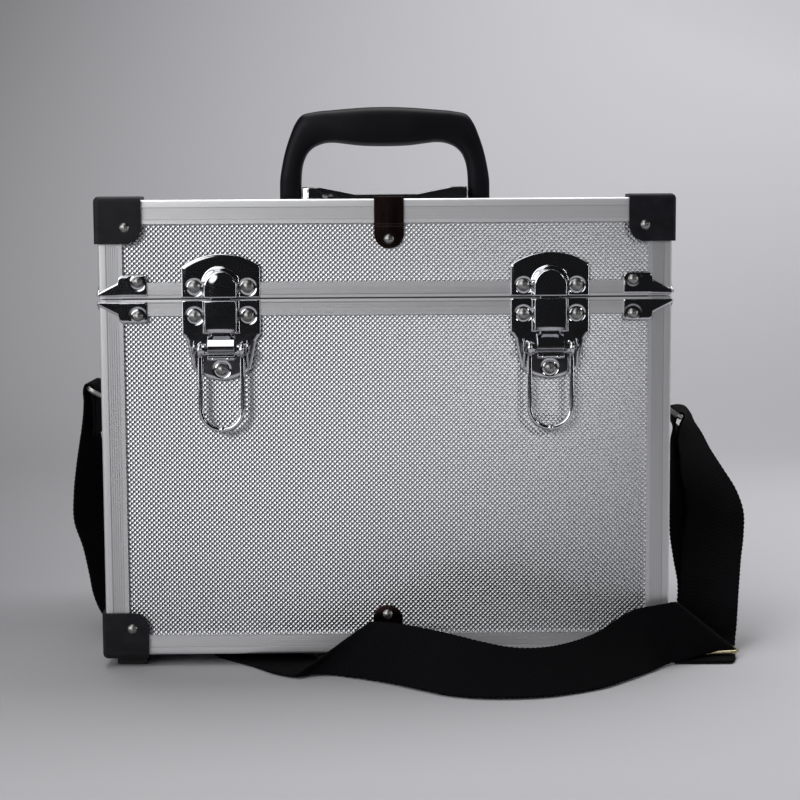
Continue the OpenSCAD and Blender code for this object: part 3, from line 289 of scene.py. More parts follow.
def dress(finish, *nodes):
    """Gives CAD nodes a finish in place of the plain one they come with."""
    for node in nodes:
        frame["nodes"][node].data.materials.clear()
        frame["nodes"][node].data.materials.append(finish.material)


dress(board_finish, *[node for node in frame["nodes"] if node.endswith("_board")])

# Face sheets: thin aluminium rolled with a fine pyramid pattern, in rows that lie at 45 degrees, and glued to
# the boards. Points stand 2.87 mm apart, with a second set of rows half way between.
pyramid_pitch, pyramid_depth, sheet_thickness = 0.00287, 0.00033, 0.0008
case_middle, full_turn = (0, 0, 0.142), 2 * np.pi
sheet_finish = Finish("rolled aluminium", Metallic=1.0)
lattice = sheet_finish.parts(sheet_finish.node("ShaderNodeUVMap", {"uv_map": "rows"}), 2)
wave_u, wave_v = [(part * full_turn).into("COSINE") for part in lattice]
# Partly wear, partly painted light: the points are coloured lighter as a painted highlight, the pits darker
# as painted shade.
point_wear_and_light = sheet_finish.held(wave_u * wave_v * 0.5 + 0.5)
handling = sheet_finish.cloud(sheet_finish.place(), 14.0, 3.0)
sheet_finish.coloured(point_wear_and_light * 0.95 + handling * 0.2 - 0.05, (0.32, 0.325, 0.335), (0.55, 0.555, 0.57))
sheet_finish.feed("Roughness", 0.25 + handling * 0.07)


def mapped(mesh, name, places):
    """Gives the mesh a map of that name, from one place for each vertex."""
    corners = np.zeros(len(mesh.loops), np.int32)
    mesh.loops.foreach_get("vertex_index", corners)
    mesh.uv_layers.new(name=name).data.foreach_set("uv", places[corners].astype(np.float32).ravel())


def rolled_sheet(node):
    """A closed sheet over a CAD skin. Its outer side is a grid of half-pitch steps whose heights alternate
    between point and pit, each cell split along its pits, and its edges drop to one flat back."""
    low, high = (np.array(corner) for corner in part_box(node))
    thin = int(np.argmin(high - low))
    a, b = [axis for axis in range(3) if axis != thin]
    outwards = 1 if (low + high)[thin] / 2 > case_middle[thin] else -1
    outer = high[thin] if outwards > 0 else low[thin]
    step = pyramid_pitch / 2
    index_a, index_b = [
        np.arange(np.floor(low[axis] / step), np.ceil(high[axis] / step) + 1) for axis in (a, b)]
    pit = (index_a[:, None] + index_b[None, :]) % 2
    points = np.zeros((*pit.shape, 3))
    points[..., a] = np.clip(index_a * step, low[a], high[a])[:, None]
    points[..., b] = np.clip(index_b * step, low[b], high[b])
    points[..., thin] = outer - outwards * pyramid_depth * pit
    ids = np.arange(pit.size).reshape(pit.shape)
    c00, c10, c11, c01 = ids[:-1, :-1], ids[1:, :-1], ids[1:, 1:], ids[:-1, 1:]
    on_point = pit[:-1, :-1, None] == 0
    from_point, from_pit = ((c00, c10, c01), (c10, c11, c01)), ((c00, c10, c11), (c00, c11, c01))
    halves = [np.where(on_point, np.stack(one, -1), np.stack(other, -1))
              for one, other in zip(from_point, from_pit)]
    back = np.zeros((4, 3))
    back[:, a], back[:, b] = [low[a], high[a], high[a], low[a]], [low[b], low[b], high[b], high[b]]
    back[:, thin] = outer - outwards * sheet_thickness
    b0, b1, b2, b3 = (pit.size + i for i in range(4))
    walls = [[*ids[::-1, 0], b0, b1], [*ids[-1, ::-1], b1, b2], [*ids[:, -1], b2, b3], [*ids[0], b3, b0],
             [b3, b2, b1, b0]]
    faces = np.concatenate(halves).reshape(-1, 3).tolist() + [[int(i) for i in wall] for wall in walls]
    if (outwards < 0) != (thin == 1):
        faces = [face[::-1] for face in faces]
    corners = np.concatenate([points.reshape(-1, 3), back])
    mesh = bpy.data.meshes.new(node.replace("_skin", "_sheet"))
    mesh.from_pydata(corners.tolist(), [], faces)
    mapped(mesh, "rows", corners[:, [a, b]] / pyramid_pitch)
    made = linked(mesh.name, mesh)
    made.data.materials.append(sheet_finish.material)
    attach(made, "lid" if node.startswith("lid") else "body")
    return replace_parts(made, node)


for node in [name for name in frame["nodes"] if name.endswith("_skin")]:
    rolled_sheet(node)

# Edge profiles: extruded aluminium, satin anodised. Each leg has a smooth crowned border, a recessed band
# with fine ribs and a raised lip beside the sheet. Brush lines run along each length, which is told by how
# far out it lies: rails that go back lie far out sideways, and posts lie far out both ways.
half_wide_mm, half_deep_mm, half_high_mm = 168, 112.5, 135
post_inside_x, post_inside_y = 0.1541, 0.0984
border_wide, lip_start, rib_turn = 4.6, 11.5, 5.2


def profile_metal(name):
    """Satin metal with brush lines: gives back the finish, the place as three numbers, where the metal stands
    upright, the lines and the broad wear."""
    finish = Finish(name, Metallic=0.86)
    where = finish.place()
    across, along, height = finish.parts(where)
    goes_back = abs(across) > post_inside_x
    upright = goes_back * (abs(along) > post_inside_y)
    lines_across, lines_back, lines_up = [
        finish.cloud(where, drawn_out) for drawn_out in ((9, 2600, 2600), (2600, 9, 2600), (2600, 2600, 9))]
    lines_flat = lines_across * (1 - goes_back) + lines_back * goes_back
    lines = lines_flat * (1 - upright) + lines_up * upright
    return finish, (across, along, height), upright, lines, finish.cloud(where, 22, 4)


def ribbed(finish, lines, wear, relief, painted_shading):
    """Feeds a profile's colour, roughness and normal from its relief in millimetres and from a painted
    shading that darkens its colour.
    """
    brushed = finish.held(lines * 0.7 + wear * 0.4 - 0.05)
    tint = finish.between(brushed, (0.80, 0.80, 0.82), (0.97, 0.97, 0.98))
    shade = finish.between(finish.held(painted_shading), (0.2, 0.2, 0.21), (1, 1, 1))
    finish.feed("Base Color", finish.node("ShaderNodeMix", {"data_type": "RGBA", "blend_type": "MULTIPLY"}, {
        0: 1.0, 6: tint, 7: shade}, out=2))
    finish.feed("Roughness", 0.46 + lines * 0.1 - wear * 0.06)
    finish.feed("Normal", finish.raised(relief + lines * 0.008, 0.001))


profile_finish, (across, along, height), upright, lines, wear = profile_metal("anodised profile")
from_side, from_front = half_wide_mm - abs(across) * 1000, half_deep_mm - abs(along) * 1000
from_level = half_high_mm - abs(height - case_middle[2]) * 1000
nearer, farther = [from_side.into(pick, from_front) for pick in ("MINIMUM", "MAXIMUM")]
inset = nearer.into("MAXIMUM", farther.into("MINIMUM", from_level))
border, lip = inset < border_wide, inset > lip_start
band = 1 - border - lip
groove = (abs(inset - border_wide) < 0.25) + (abs(inset - lip_start) < 0.22)
ribs = (inset * rib_turn).into("COSINE")
crown = border * (1 - inset / border_wide) ** 2
# Painted shade: the recessed band, its ribs and the grooves are coloured darker, and the upright posts darker
# still, where less light comes back from them.
ribbed(profile_finish, lines, wear, crown * -0.3 + band * (ribs * 0.006 - 0.1) - groove * 0.08,
       0.93 - upright * 0.25 - band * (0.08 + ribs * 0.015) - groove * 0.14)
dress(profile_finish, "body_corner_posts", "body_base_rails", "lid_corner_posts", "lid_top_rails")

# Rims: the same metal, as the two profiles that meet at the seam. Each has a narrow crowned lip beside the
# seam, then a groove and a ribbed band. The band and groove are coloured darker as painted shade, and the
# lips are painted dark right beside the gap between them, as painted shade in the seam.
seam_middle, lip_wide = 0.2193, 2.2
rim_finish, (_, _, height), _, lines, wear = profile_metal("anodised rim")
from_seam = abs(height - seam_middle) * 1000
# Painted shade in the seam: within 0.55 mm of it the rims are coloured dark.
lip, painted_seam_shade = from_seam < lip_wide, from_seam < 0.55
groove = abs(from_seam - 2.3) < 0.25
ribs = (from_seam * rib_turn).into("COSINE")
crown = lip * (1 - from_seam / lip_wide) ** 2
ribbed(rim_finish, lines, wear, crown * -0.2 + (1 - lip) * (ribs * 0.008 - 0.08) - groove * 0.12,
       0.82 - (1 - lip) * (0.1 + ribs * 0.02) - groove * 0.28 - painted_seam_shade * 0.7)
dress(rim_finish, "body_rim", "lid_rim")

# Lining: dark grey foam with a fine open skin, 2.5 mm thick. It is cut to the inside of the body and of the
# lid and glued to the boards.
foam_finish = Finish("foam lining", Roughness=0.95, Specular_IOR_Level=0.15)
cells = foam_finish.node("ShaderNodeTexVoronoi", sockets={"Vector": foam_finish.place(), "Scale": 900.0})
foam_finish.coloured(cells * 1.4, (0.022, 0.022, 0.025), (0.060, 0.060, 0.065))
foam_finish.feed("Normal", foam_finish.raised(cells, 0.0004, 0.6))
dress(foam_finish, "body_lining", "lid_lining")


# Corner guards: injection moulded black plastic, glossy with a faint grain, each riveted through its three
# faces.
def eased(node, finish, radius, steps=2, sharp=32):
    """A finer copy of a CAD solid: its mesh is merged, flat neighbours are joined, and every edge sharper
    than the given angle is rounded to that radius."""
    cad = frame["nodes"][node]
    mesh = cad.data.copy()
    mesh.name = node + "_eased"
    work = bmesh.new()
    work.from_mesh(mesh)
    bmesh.ops.remove_doubles(work, verts=work.verts, dist=0.00001)
    bmesh.ops.dissolve_limit(work, angle_limit=np.radians(0.6), verts=work.verts, edges=work.edges)
    for face in work.faces:
        face.smooth = True
    work.to_mesh(mesh)
    work.free()
    mesh.materials.clear()
    mesh.materials.append(finish.material)
    made = linked(mesh.name, mesh)
    rounding = made.modifiers.new("eased edges", "BEVEL")
    rounding.width, rounding.segments, rounding.limit_method = radius, steps, "ANGLE"
    rounding.angle_limit, rounding.use_clamp_overlap = np.radians(sharp), True
    flat = made.modifiers.new("flat faces", "WEIGHTED_NORMAL")
    flat.weight, flat.keep_sharp = 100, True
    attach(made, cad["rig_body"])
    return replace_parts(made, node)


guard_finish = Finish("guard plastic", Specular_IOR_Level=0.18)
where = guard_finish.place()
grain = guard_finish.cloud(where, 2600.0)
scuffs = guard_finish.cloud(where, (90, 60, 140), 5.0, 0.65)
guard_finish.coloured(scuffs * 1.6 - 0.5, (0.006, 0.0055, 0.008), (0.020, 0.019, 0.024))
guard_finish.feed("Roughness", 0.36 + scuffs * 0.16)
guard_finish.feed("Normal", guard_finish.raised(grain, 0.00005, 0.25))
for node in ("body_corner_guards", "lid_corner_guards"):
    eased(node, guard_finish, 0.0005)

# Feet: square blocks of black rubber with eased edges, each moulded in one piece and fixed under a lower
# guard near the case's corner.
foot_x, foot_y, foot_side, foot_height, foot_round = 0.1535, 0.0984, 0.018, 0.0052, 0.001
rubber_finish = Finish("foot rubber", Specular_IOR_Level=0.3)
bloom = rubber_finish.cloud(rubber_finish.place(), 400.0, 4.0)
rubber_finish.coloured(bloom, (0.010, 0.010, 0.011), (0.030, 0.030, 0.031))
rubber_finish.feed("Roughness", 0.60 + bloom * 0.3)
rubber_finish.feed("Normal", rubber_finish.raised(bloom, 0.0001, 0.3))
feet_mesh = bpy.data.meshes.new("square_feet")
work = bmesh.new()
foot_block = Matrix.Diagonal((foot_side, foot_side, foot_height, 1))
for x in (-foot_x, foot_x):
    for y in (-foot_y, foot_y):
        stand = Matrix.Translation((x, y, foot_height / 2))
        bmesh.ops.create_cube(work, size=1, matrix=stand @ foot_block)
work.to_mesh(feet_mesh)
work.free()
feet = linked("square_feet", feet_mesh)
rounding = feet.modifiers.new("eased edges", "BEVEL")
rounding.width, rounding.segments, rounding.harden_normals = foot_round, 3, True
feet.data.materials.append(rubber_finish.material)
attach(feet, "body")
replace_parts(feet, "feet")

# Bright fittings: pressed steel sheet, polished and chromed, with rolled-over edges. Seam braces wrap the
# vertical edges, the latch plates carry the draw latches, and a folded bracket carries the handle.
chrome_finish = Finish("chromed steel", Metallic=1.0)
where = chrome_finish.place()
across, _, height = chrome_finish.parts(where)
smears = chrome_finish.cloud(where, (50, 50, 90), 4.0, 0.6)
waves = chrome_finish.cloud(where, 130.0, 1.0)
chrome_finish.coloured(smears, (0.58, 0.58, 0.61), (0.72, 0.73, 0.75))
chrome_finish.feed("Roughness", 0.04 + smears * 0.05)
dented = chrome_finish.held(across * -40 - 0.8) * (height > 0.272)
chrome_finish.feed("Normal", chrome_finish.raised(waves * (1 + dented * 22), 0.0006, 0.05))
dress(chrome_finish, "latch_left_bail", "latch_right_bail")

# Latch plates: each is one pressing with a drawn rim, a dome on the keeper and a channel on the base plate.
# Their front is a grid laid over the plate's outline, whose height in millimetres follows from the distance
# to each edge.
latch_x, seam_level, panel_y = 0.0964, 0.219, -0.1125
plate_rise, pressed_rise, plate_back, crown_half = 1.2, 5.0, 0.02, 9
dimple_depth, dimple_radius, dimple_soft = 0.32, 4.5, 0.6


def ramp(distance, width):
    """A soft step from nought to one over that width."""
    share = np.clip(distance / width, 0, 1)
    return share * share * (3 - 2 * share)


def drawn(distance, width, drop):
    """How far a rounded rim of that width has dropped: a quarter of an ellipse."""
    share = 1 - np.clip(distance / width, 0, 1)
    return drop * (1 - np.sqrt(1 - share * share))


def closed(mesh, *rings, smooth=False):
    """Closes a mesh with one face over each ring of vertex numbers and turns all faces outwards."""
    work = bmesh.new()
    work.from_mesh(mesh)
    work.verts.ensure_lookup_table()
    for ring in rings:
        work.faces.new([work.verts[i] for i in ring]).smooth = smooth
    bmesh.ops.recalc_face_normals(work, faces=work.faces)
    work.to_mesh(mesh)
    work.free()


def pressing(name, body, fronts, backs, *nodes):
    """One object from closed plates. Each is a grid for its front and one of the same size for its back, and
    a band of faces joins their borders."""
    points, faces, smooth, start = [], [], [], 0
    for front, back in zip(fronts, backs):
        rows, columns = front.shape[:2]
        ids = start + np.arange(rows * columns).reshape(rows, columns)
        ring = np.concatenate([ids[0, :-1], ids[:-1, -1], ids[-1, :0:-1], ids[:0:-1, 0]])
        cells = cells_of(ids)
        walls = np.stack([ring, ring + ids.size, np.roll(ring, -1) + ids.size, np.roll(ring, -1)], axis=-1)
        points += [front.reshape(-1, 3), back.reshape(-1, 3)]
        faces += [cells, cells[:, ::-1] + ids.size, walls]
        smooth += [np.ones(2 * len(cells), bool), np.zeros(len(walls), bool)]
        start += 2 * ids.size
    mesh = bpy.data.meshes.new(name)
    mesh.from_pydata(np.concatenate(points).tolist(), [], np.concatenate(faces).tolist())
    closed(mesh)
    mesh.polygons.foreach_set("use_smooth", np.concatenate(smooth))
    made = linked(name, mesh)
    made.data.materials.append(chrome_finish.material)
    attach(made, body)
    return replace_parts(made, *nodes)


def dimples(across, up, *rivets):
    """A shallow ring pressed into a plate round each rivet's head, in millimetres."""
    from_ring = [np.hypot(np.abs(across) - x, up - y) - dimple_radius for x, y in rivets]
    return sum(dimple_depth * np.exp(-(distance / dimple_soft) ** 2) for distance in from_ring)


def crowned(across, distance, height, soft):
    """A low crown along the middle of a raised field, which fades towards the field's end."""
    return height * np.clip(1 - (across / crown_half) ** 2, 0, 1) * ramp(distance, soft)


def laid_on_front(across, up, rise):
    """A plate's grid at both latches, from millimetres across, above the seam and out from the front."""
    return [grid_of(side * latch_x + across / 1000, panel_y - rise / 1000, seam_level + up / 1000)
            for side in (-1, 1)]


keeper_half, keeper_low, keeper_high, arch_radius = 23.1, 0.9, 26.6, 39.75
dome_half, dome_arch_up, keeper_rivet = 11.2, 8.4, (15.6, 6.8)
share_across = np.linspace(-1, 1, 109)[None, :]
across = share_across * keeper_half
arch = keeper_high - arch_radius + np.sqrt(arch_radius ** 2 - across ** 2)
up = keeper_low + np.linspace(0, 1, 69)[:, None] * (arch - keeper_low)
to_side = keeper_half - np.abs(across)
to_arch = arch_radius - np.hypot(across, up - keeper_high + arch_radius)
in_arch = np.clip((up - dome_arch_up) / dome_half, 0, 1)
to_foot = dome_half - np.where(up > dome_arch_up, np.hypot(across, up - dome_arch_up), np.abs(across))
keeper_rise = (plate_rise - drawn(np.minimum(to_side, to_arch), 2.6, 1.0) - drawn(up - keeper_low, 0.5, 0.3)
               + pressed_rise * ramp(to_foot, 2.3 + 2.6 * in_arch) + crowned(across, to_foot - 3, 0.35, 5)
               - dimples(across, up, keeper_rivet) * (to_foot < 0.3))
pressing("keepers", "lid", laid_on_front(across, up, keeper_rise), laid_on_front(across, up, plate_back),
         "latch_keepers")

base_high, base_low, foot_radius, foot_half = 0.5, 47.6, 26.0, 16.5
channel_half, channel_end, base_rivets = 10.7, 19.8, ((15.6, 9.8), (0, 41.4))
foot_line = base_low - foot_radius + np.sqrt(foot_radius ** 2 - (share_across * foot_half) ** 2)
down = base_high + np.linspace(0, 1, 137)[:, None] * (foot_line - base_high)
half = np.interp(down, [0, 20.4, 24.4, 44.0, base_low],
                 [keeper_half, keeper_half, 20.5, foot_half, foot_half])
across = share_across * half
to_edge = np.minimum(half - np.abs(across),
                     foot_radius - np.hypot(across, np.maximum(down - base_low + foot_radius, 0)))
channel = ramp(channel_half - np.abs(across), 1.7) * ramp(channel_end - down, 0.4)
off_channel = (np.abs(across) > channel_half) | (down > 21)
base_rise = (plate_rise - drawn(to_edge, 2.2, 0.95) - drawn(down - base_high, 0.6, 0.5)
             + (pressed_rise - drawn(down - base_high, 0.9, 0.6)) * channel
             + crowned(across, channel_end - down - 0.7, 0.25, 2)
             - dimples(across, down, *base_rivets) * off_channel)
pressing("latch_plates", "body", laid_on_front(across, -down, base_rise),
         laid_on_front(across, -down, plate_back), "latch_base_plates")

# Ears of the latch plates: two flanges turned forward, pierced by the pivot rivets. Their outline is given in
# millimetres out from the case's front and below the seam.
ear_outline = np.array([
    [0.3, 24], [3.2, 24], [8, 26.2], [9, 27.6], [9, 31.6], [8, 33.2], [3.2, 41.5], [0.3, 41.5]])
ear_inside, ear_outside, ear_round = 15.0, 16.2, 0.00035
for side, side_name in ((-1, "left"), (1, "right")):
    for hand, hand_name in ((-1, "left"), (1, "right")):
        ear_points = [grid_of(side * latch_x + hand * offset / 1000, panel_y - ear_outline[:, 0] / 1000,
                              seam_level - ear_outline[:, 1] / 1000) for offset in (ear_inside, ear_outside)]
        count = len(ear_outline)
        ear_sides = [[i, i + count, (i + 1) % count + count, (i + 1) % count] for i in range(count)]
        ear_mesh = bpy.data.meshes.new(f"{side_name}_latch_{hand_name}_ear")
        ear_mesh.from_pydata(np.concatenate(ear_points).tolist(), [], ear_sides)
        closed(ear_mesh, range(count), range(2 * count - 1, count - 1, -1))
        ear = linked(ear_mesh.name, ear_mesh)
        rounding = ear.modifiers.new("eased edges", "BEVEL")
        rounding.width, rounding.segments, rounding.harden_normals = ear_round, 2, True
        ear.data.materials.append(chrome_finish.material)
        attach(ear, "body")

# Seam braces: pressings that wrap each vertical edge above and below the seam, narrow at the edge and wide at
# their ends, each held by one rivet on the front and one on the side.
brace_sheet, brace_reach, fold_radius, from_seam_line, brace_high = 1.2, 29.7, 1.5, 1.4, 12.4
waist_high, waist_rise, waist_end, shoulder_radius, brace_corner = 1.8, 6.6, 12.8, 2.4, 3
brace_rivet = (24.1, 8.4)
path = np.linspace(-brace_reach, brace_reach, 133)
from_fold = np.abs(path)
shoulder_end, corner_start = waist_end + shoulder_radius, brace_reach - brace_corner
shoulder = np.sqrt(np.maximum(shoulder_radius ** 2 - (shoulder_end - from_fold) ** 2, 0))
end_corner = np.sqrt(np.maximum(brace_corner ** 2 - (from_fold - corner_start) ** 2, 0))
brace_top = np.select(
    [from_fold < waist_end, from_fold < shoulder_end, from_fold < corner_start],
    [waist_high + waist_rise * from_fold / waist_end, brace_high - shoulder_radius + shoulder,
     np.full_like(path, brace_high)], brace_high - brace_corner + end_corner)
brace_up = np.linspace(0, 1, 25)[:, None] * brace_top
to_rim = np.minimum((brace_top - brace_up) * 0.9, brace_reach - from_fold)
brace_out = (brace_sheet - drawn(to_rim, 1.3, 0.9) - drawn(brace_up, 0.5, 0.4)
             - 0.5 * dimples(path, brace_up, brace_rivet))
turned_by = np.pi / 2 * np.clip((path + fold_radius) / (2 * fold_radius), 0, 1)
on_fold = from_fold < fold_radius
path_x = np.where(on_fold, fold_radius * (1 - np.cos(turned_by)), np.maximum(path, 0))
path_y = np.where(on_fold, fold_radius * (1 - np.sin(turned_by)), np.maximum(-path, 0))


def folded(mirror_x, mirror_y, foot, direction, out):
    """A brace's grid at one corner, its sheet standing out by that many millimetres."""
    inward = brace_sheet - out
    x = -half_wide_mm - brace_sheet + path_x + inward * np.cos(turned_by)
    y = -half_deep_mm - brace_sheet + path_y + inward * np.sin(turned_by)
    return grid_of(mirror_x * x, mirror_y * y, foot + direction * brace_up) / 1000


for name, body, foot, direction in (("body_seam_braces", "body", 219 - from_seam_line, -1),
                                    ("lid_seam_braces", "lid", 219.6 + from_seam_line, 1)):
    corners = [(x, y, foot, direction) for x in (-1, 1) for y in (-1, 1)]
    pressing(name + "_pressed", body, [folded(*corner, brace_out) for corner in corners],
             [folded(*corner, plate_back) for corner in corners], name)

# Hooks: pressed bars of chromed steel that run under the latch channels and draw the keepers down. Each has a
# wider lug, in whose slot the crank pin of its bail moves.
for node in ("latch_left_hook", "latch_right_hook"):
    eased(node, chrome_finish, 0.0006, 3)

# Welds: each bail's wire is closed by a small bead at the bottom of its bow, and each hook has two spot
# welds. Sizes are in millimetres: across, out from the front and below the seam, then half the bead's length
# and its thickness.
def tube_of(name, rings, smooth=False):
    """A closed surface from rings of points: each joins the next, and one face closes each end."""
    made = sheet_of(name, rings, closed_round=True)
    count, last = rings.shape[1], rings[:-1, :, 0].size
    closed(made.data, range(count), range(last, last + count), smooth=smooth)
    return made


polar, turn = np.linspace(0.05, np.pi - 0.05, 11)[:, None], np.linspace(0, full_turn, 20, endpoint=False)
for side, side_name in ((-1, "left"), (1, "right")):
    for bead_name, piece, across_mm, out, drop, reach, thick in (
            ("bow_weld", "bail", 0, 6, 76.5, 2.0, 2.3), ("left_spot_weld", "hook", -4.3, 8, 34.6, 1.4, 0.9),
            ("right_spot_weld", "hook", 4.3, 8, 34.6, 1.4, 0.9)):
        bead = tube_of(f"{side_name}_{bead_name}", grid_of(
            (across_mm + reach * np.cos(polar)) / 1000 + side * latch_x,
            panel_y - (out + thick * np.sin(polar) * np.cos(turn)) / 1000,
            seam_level - (drop + thick * np.sin(polar) * np.sin(turn)) / 1000), smooth=True)
        bead.data.materials.append(chrome_finish.material)
        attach(bead, frame["nodes"][f"latch_{side_name}_{piece}"]["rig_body"])

# Bracket: chromed sheet screwed to the lid, with a front and a rear flange that are higher at their ends, and
# end plates that hold the handle's pins. Its front flange is dented on the left, folded back at its left end
# and creased near its right end.
bracket_half, bracket_seat, flange_face, flange_inner = 52.8, 275.6, 12, 10.6
fold_start, fold_slope, crease_at, crease_wide, crease_deep = -49.2, 0.75, 50.2, 0.35, 0.2
along_flange = np.linspace(-bracket_half, bracket_half, 177)[None, :]
flange_top = np.interp(np.abs(along_flange), [0, 20.1, 42.8, bracket_half], [5.9, 5.9, 10.4, 10.4])
flange_up = np.linspace(0, 1, 17)[:, None] * flange_top
fold_back = (fold_slope * np.maximum(fold_start - along_flange, 0)
             + crease_deep * np.exp(-((along_flange - crease_at) / crease_wide) ** 2))
rolled = drawn(flange_top - flange_up, 0.9, 0.6)


def bracket_plate(x, y, z):
    """One side of a plate of the bracket, from millimetres, its height taken from the lid's top."""
    return grid_of(x, y, bracket_seat + z) / 1000


plate_x, plate_y = np.linspace(-51.4, 51.4, 23)[None, :], np.linspace(-11, 11, 9)[:, None]
end_y, end_z = np.linspace(-8.8, 11, 9)[None, :], np.linspace(0.2, 10.2, 9)[:, None]
bracket_outside = [
    bracket_plate(along_flange, -flange_face + fold_back + rolled, flange_up),
    bracket_plate(along_flange, flange_face - rolled, flange_up), bracket_plate(plate_x, plate_y, 1.4),
    bracket_plate(-bracket_half, end_y, end_z), bracket_plate(bracket_half, end_y, end_z)]
bracket_inside = [
    bracket_plate(along_flange, -flange_inner + fold_back, flange_up),
    bracket_plate(along_flange, flange_inner, flange_up), bracket_plate(plate_x, plate_y, 0.05),
    bracket_plate(-51.0, end_y, end_z), bracket_plate(51.0, end_y, end_z)]
pressing("folded_bracket", "lid", bracket_outside, bracket_inside, "handle_bracket")

# Edge clips: dark nickelled spring steel, bent over the middle of the top and bottom edges and held by one
# rivet on each face. Their lacquer is brown black and glossy.
clip_finish = Finish("dark nickel", Metallic=1.0)
rub = clip_finish.cloud(clip_finish.place(), (120, 60, 30), 4.0)
clip_finish.coloured(rub * 1.5 - 0.25, (0.018, 0.0115, 0.0105), (0.072, 0.044, 0.039))
clip_finish.feed("Roughness", 0.20 + rub * 0.12)
for node in ("body_edge_clips", "lid_edge_clips"):
    eased(node, clip_finish, 0.00035)

# Rivets, pins, hinges and ring plates: plated steel with a satin lustre. Rivets and pins are headed and
# turned, and the leaves and chapes are pressed from sheet and riveted through the boards.
steel_finish = Finish("plated steel", Metallic=1.0)
turning = steel_finish.cloud(steel_finish.place(), 700.0, 3.0)
steel_finish.coloured(turning, (0.22, 0.22, 0.215), (0.40, 0.40, 0.39))
steel_finish.feed("Roughness", 0.27 + turning * 0.14)
dress(steel_finish, "body_rivets", "lid_rivets", "latch_pivot_rivets", "hinge_pins", "handle_pins")
for node in ("hinge_body_leaves", "hinge_lid_leaves", "ring_chapes"):
    eased(node, steel_finish, 0.0003)

# Rings: bent steel wire, nickelled, closed in the chapes' tubes at the middle of each side. The strap's end
# loops go round them.
dress(steel_finish, "left_ring", "right_ring")

# Slider: a flat frame of bent brass plated wire, which lies in the strap's turn at the front right corner.
# Its path is a rectangle with round corners, tilted about its front bar and then turned.
slider_middle, slider_yaw, slider_lean = np.array([0.1932, -0.1067, 0.0038]), np.radians(9), np.radians(4)
half_wide, frame_deep, bend_radius, wire_radius = 0.0184, 0.0105, 0.0024, 0.0012
brass_finish = Finish("brass plating", Metallic=1.0)
dull = brass_finish.cloud(brass_finish.place(), 260.0, 4.0)
brass_finish.coloured(dull, (0.40, 0.33, 0.20), (0.70, 0.62, 0.42))
brass_finish.feed("Roughness", 0.20 + dull * 0.2)
quarter = np.linspace(0, np.pi / 2, 7)
bend_x, bend_y = half_wide - bend_radius, frame_deep - bend_radius
bends = [(bend_x, bend_radius, -np.pi / 2), (bend_x, bend_y, 0), (-bend_x, bend_y, np.pi / 2),
         (-bend_x, bend_radius, np.pi)]
flat_x = np.concatenate([x + bend_radius * np.cos(quarter + start) for x, y, start in bends])
flat_y = np.concatenate([y + bend_radius * np.sin(quarter + start) for x, y, start in bends])
tilted_y = flat_y * np.cos(slider_lean)
wire_path = slider_middle + grid_of(
    flat_x * np.cos(slider_yaw) - tilted_y * np.sin(slider_yaw),
    flat_x * np.sin(slider_yaw) + tilted_y * np.cos(slider_yaw), flat_y * np.sin(slider_lean))
heading = np.roll(wire_path, -1, 0) - np.roll(wire_path, 1, 0)
heading /= np.linalg.norm(heading, axis=1, keepdims=True)
frame_normal = np.cross(wire_path[7] - wire_path[0], wire_path[14] - wire_path[0])
frame_normal /= np.linalg.norm(frame_normal)
sideways = np.cross(heading, frame_normal)[:, None]
around = np.linspace(0, full_turn, 16, endpoint=False)[:, None]
wire = wire_path[:, None] + wire_radius * (sideways * np.cos(around) + frame_normal * np.sin(around))
slider = sheet_of("slider_frame", wire, closed_round=True, closed_along=True)
closed(slider.data)
slider.data.materials.append(brass_finish.material)
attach(slider, "body")
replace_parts(slider, "strap_slider")

# Handle: one hollow moulding in black plastic, oval over the fingers, flat with a chamfered inner edge at its
# legs. It turns on two pins through its rounded leg ends.
handle_outline = np.array([
    [67.6, 7, 53.6, 7], [67.4, 15, 53.5, 15], [66.2, 23, 53, 21.5], [64, 33, 51.6, 27.5],
    [60.6, 43.4, 48.6, 33], [57.2, 51.2, 44.4, 36.4], [53, 56.4, 39, 38.4], [45, 58.5, 33.5, 38.9],
    [32, 59.8, 26, 38.2], [18, 60.9, 16, 37], [8, 61.4, 8, 36.6], [0, 61.5, 0, 36.5]]) / 1000
handle_seat, leg_end_radius, pivot_height = 0.2756, 0.0062, 0.007
leg_outside, leg_inside = 0.0676, 0.0536
grip_depth, leg_depth, grip_start, grip_rise, leg_part = 0.022, 0.015, 0.25, 0.6, 0.1
oval_power, chamfer_from, chamfer_slope = 0.72, 0.42, 0.62


def smooth_line(points, knots, at):
    """A cubic through the points, whose slope at each is its neighbours' chord, read at new places."""
    slope = np.gradient(points, knots, axis=0)
    i = np.clip(np.searchsorted(knots, at, side="right") - 1, 0, len(knots) - 2)
    span = (knots[i + 1] - knots[i])[:, None]
    t = (at[:, None] - knots[i][:, None]) / span
    return (points[i] * (1 + 2 * t) * (1 - t) ** 2 + slope[i] * span * t * (1 - t) ** 2
            + points[i + 1] * t * t * (3 - 2 * t) + slope[i + 1] * span * t * t * (t - 1))


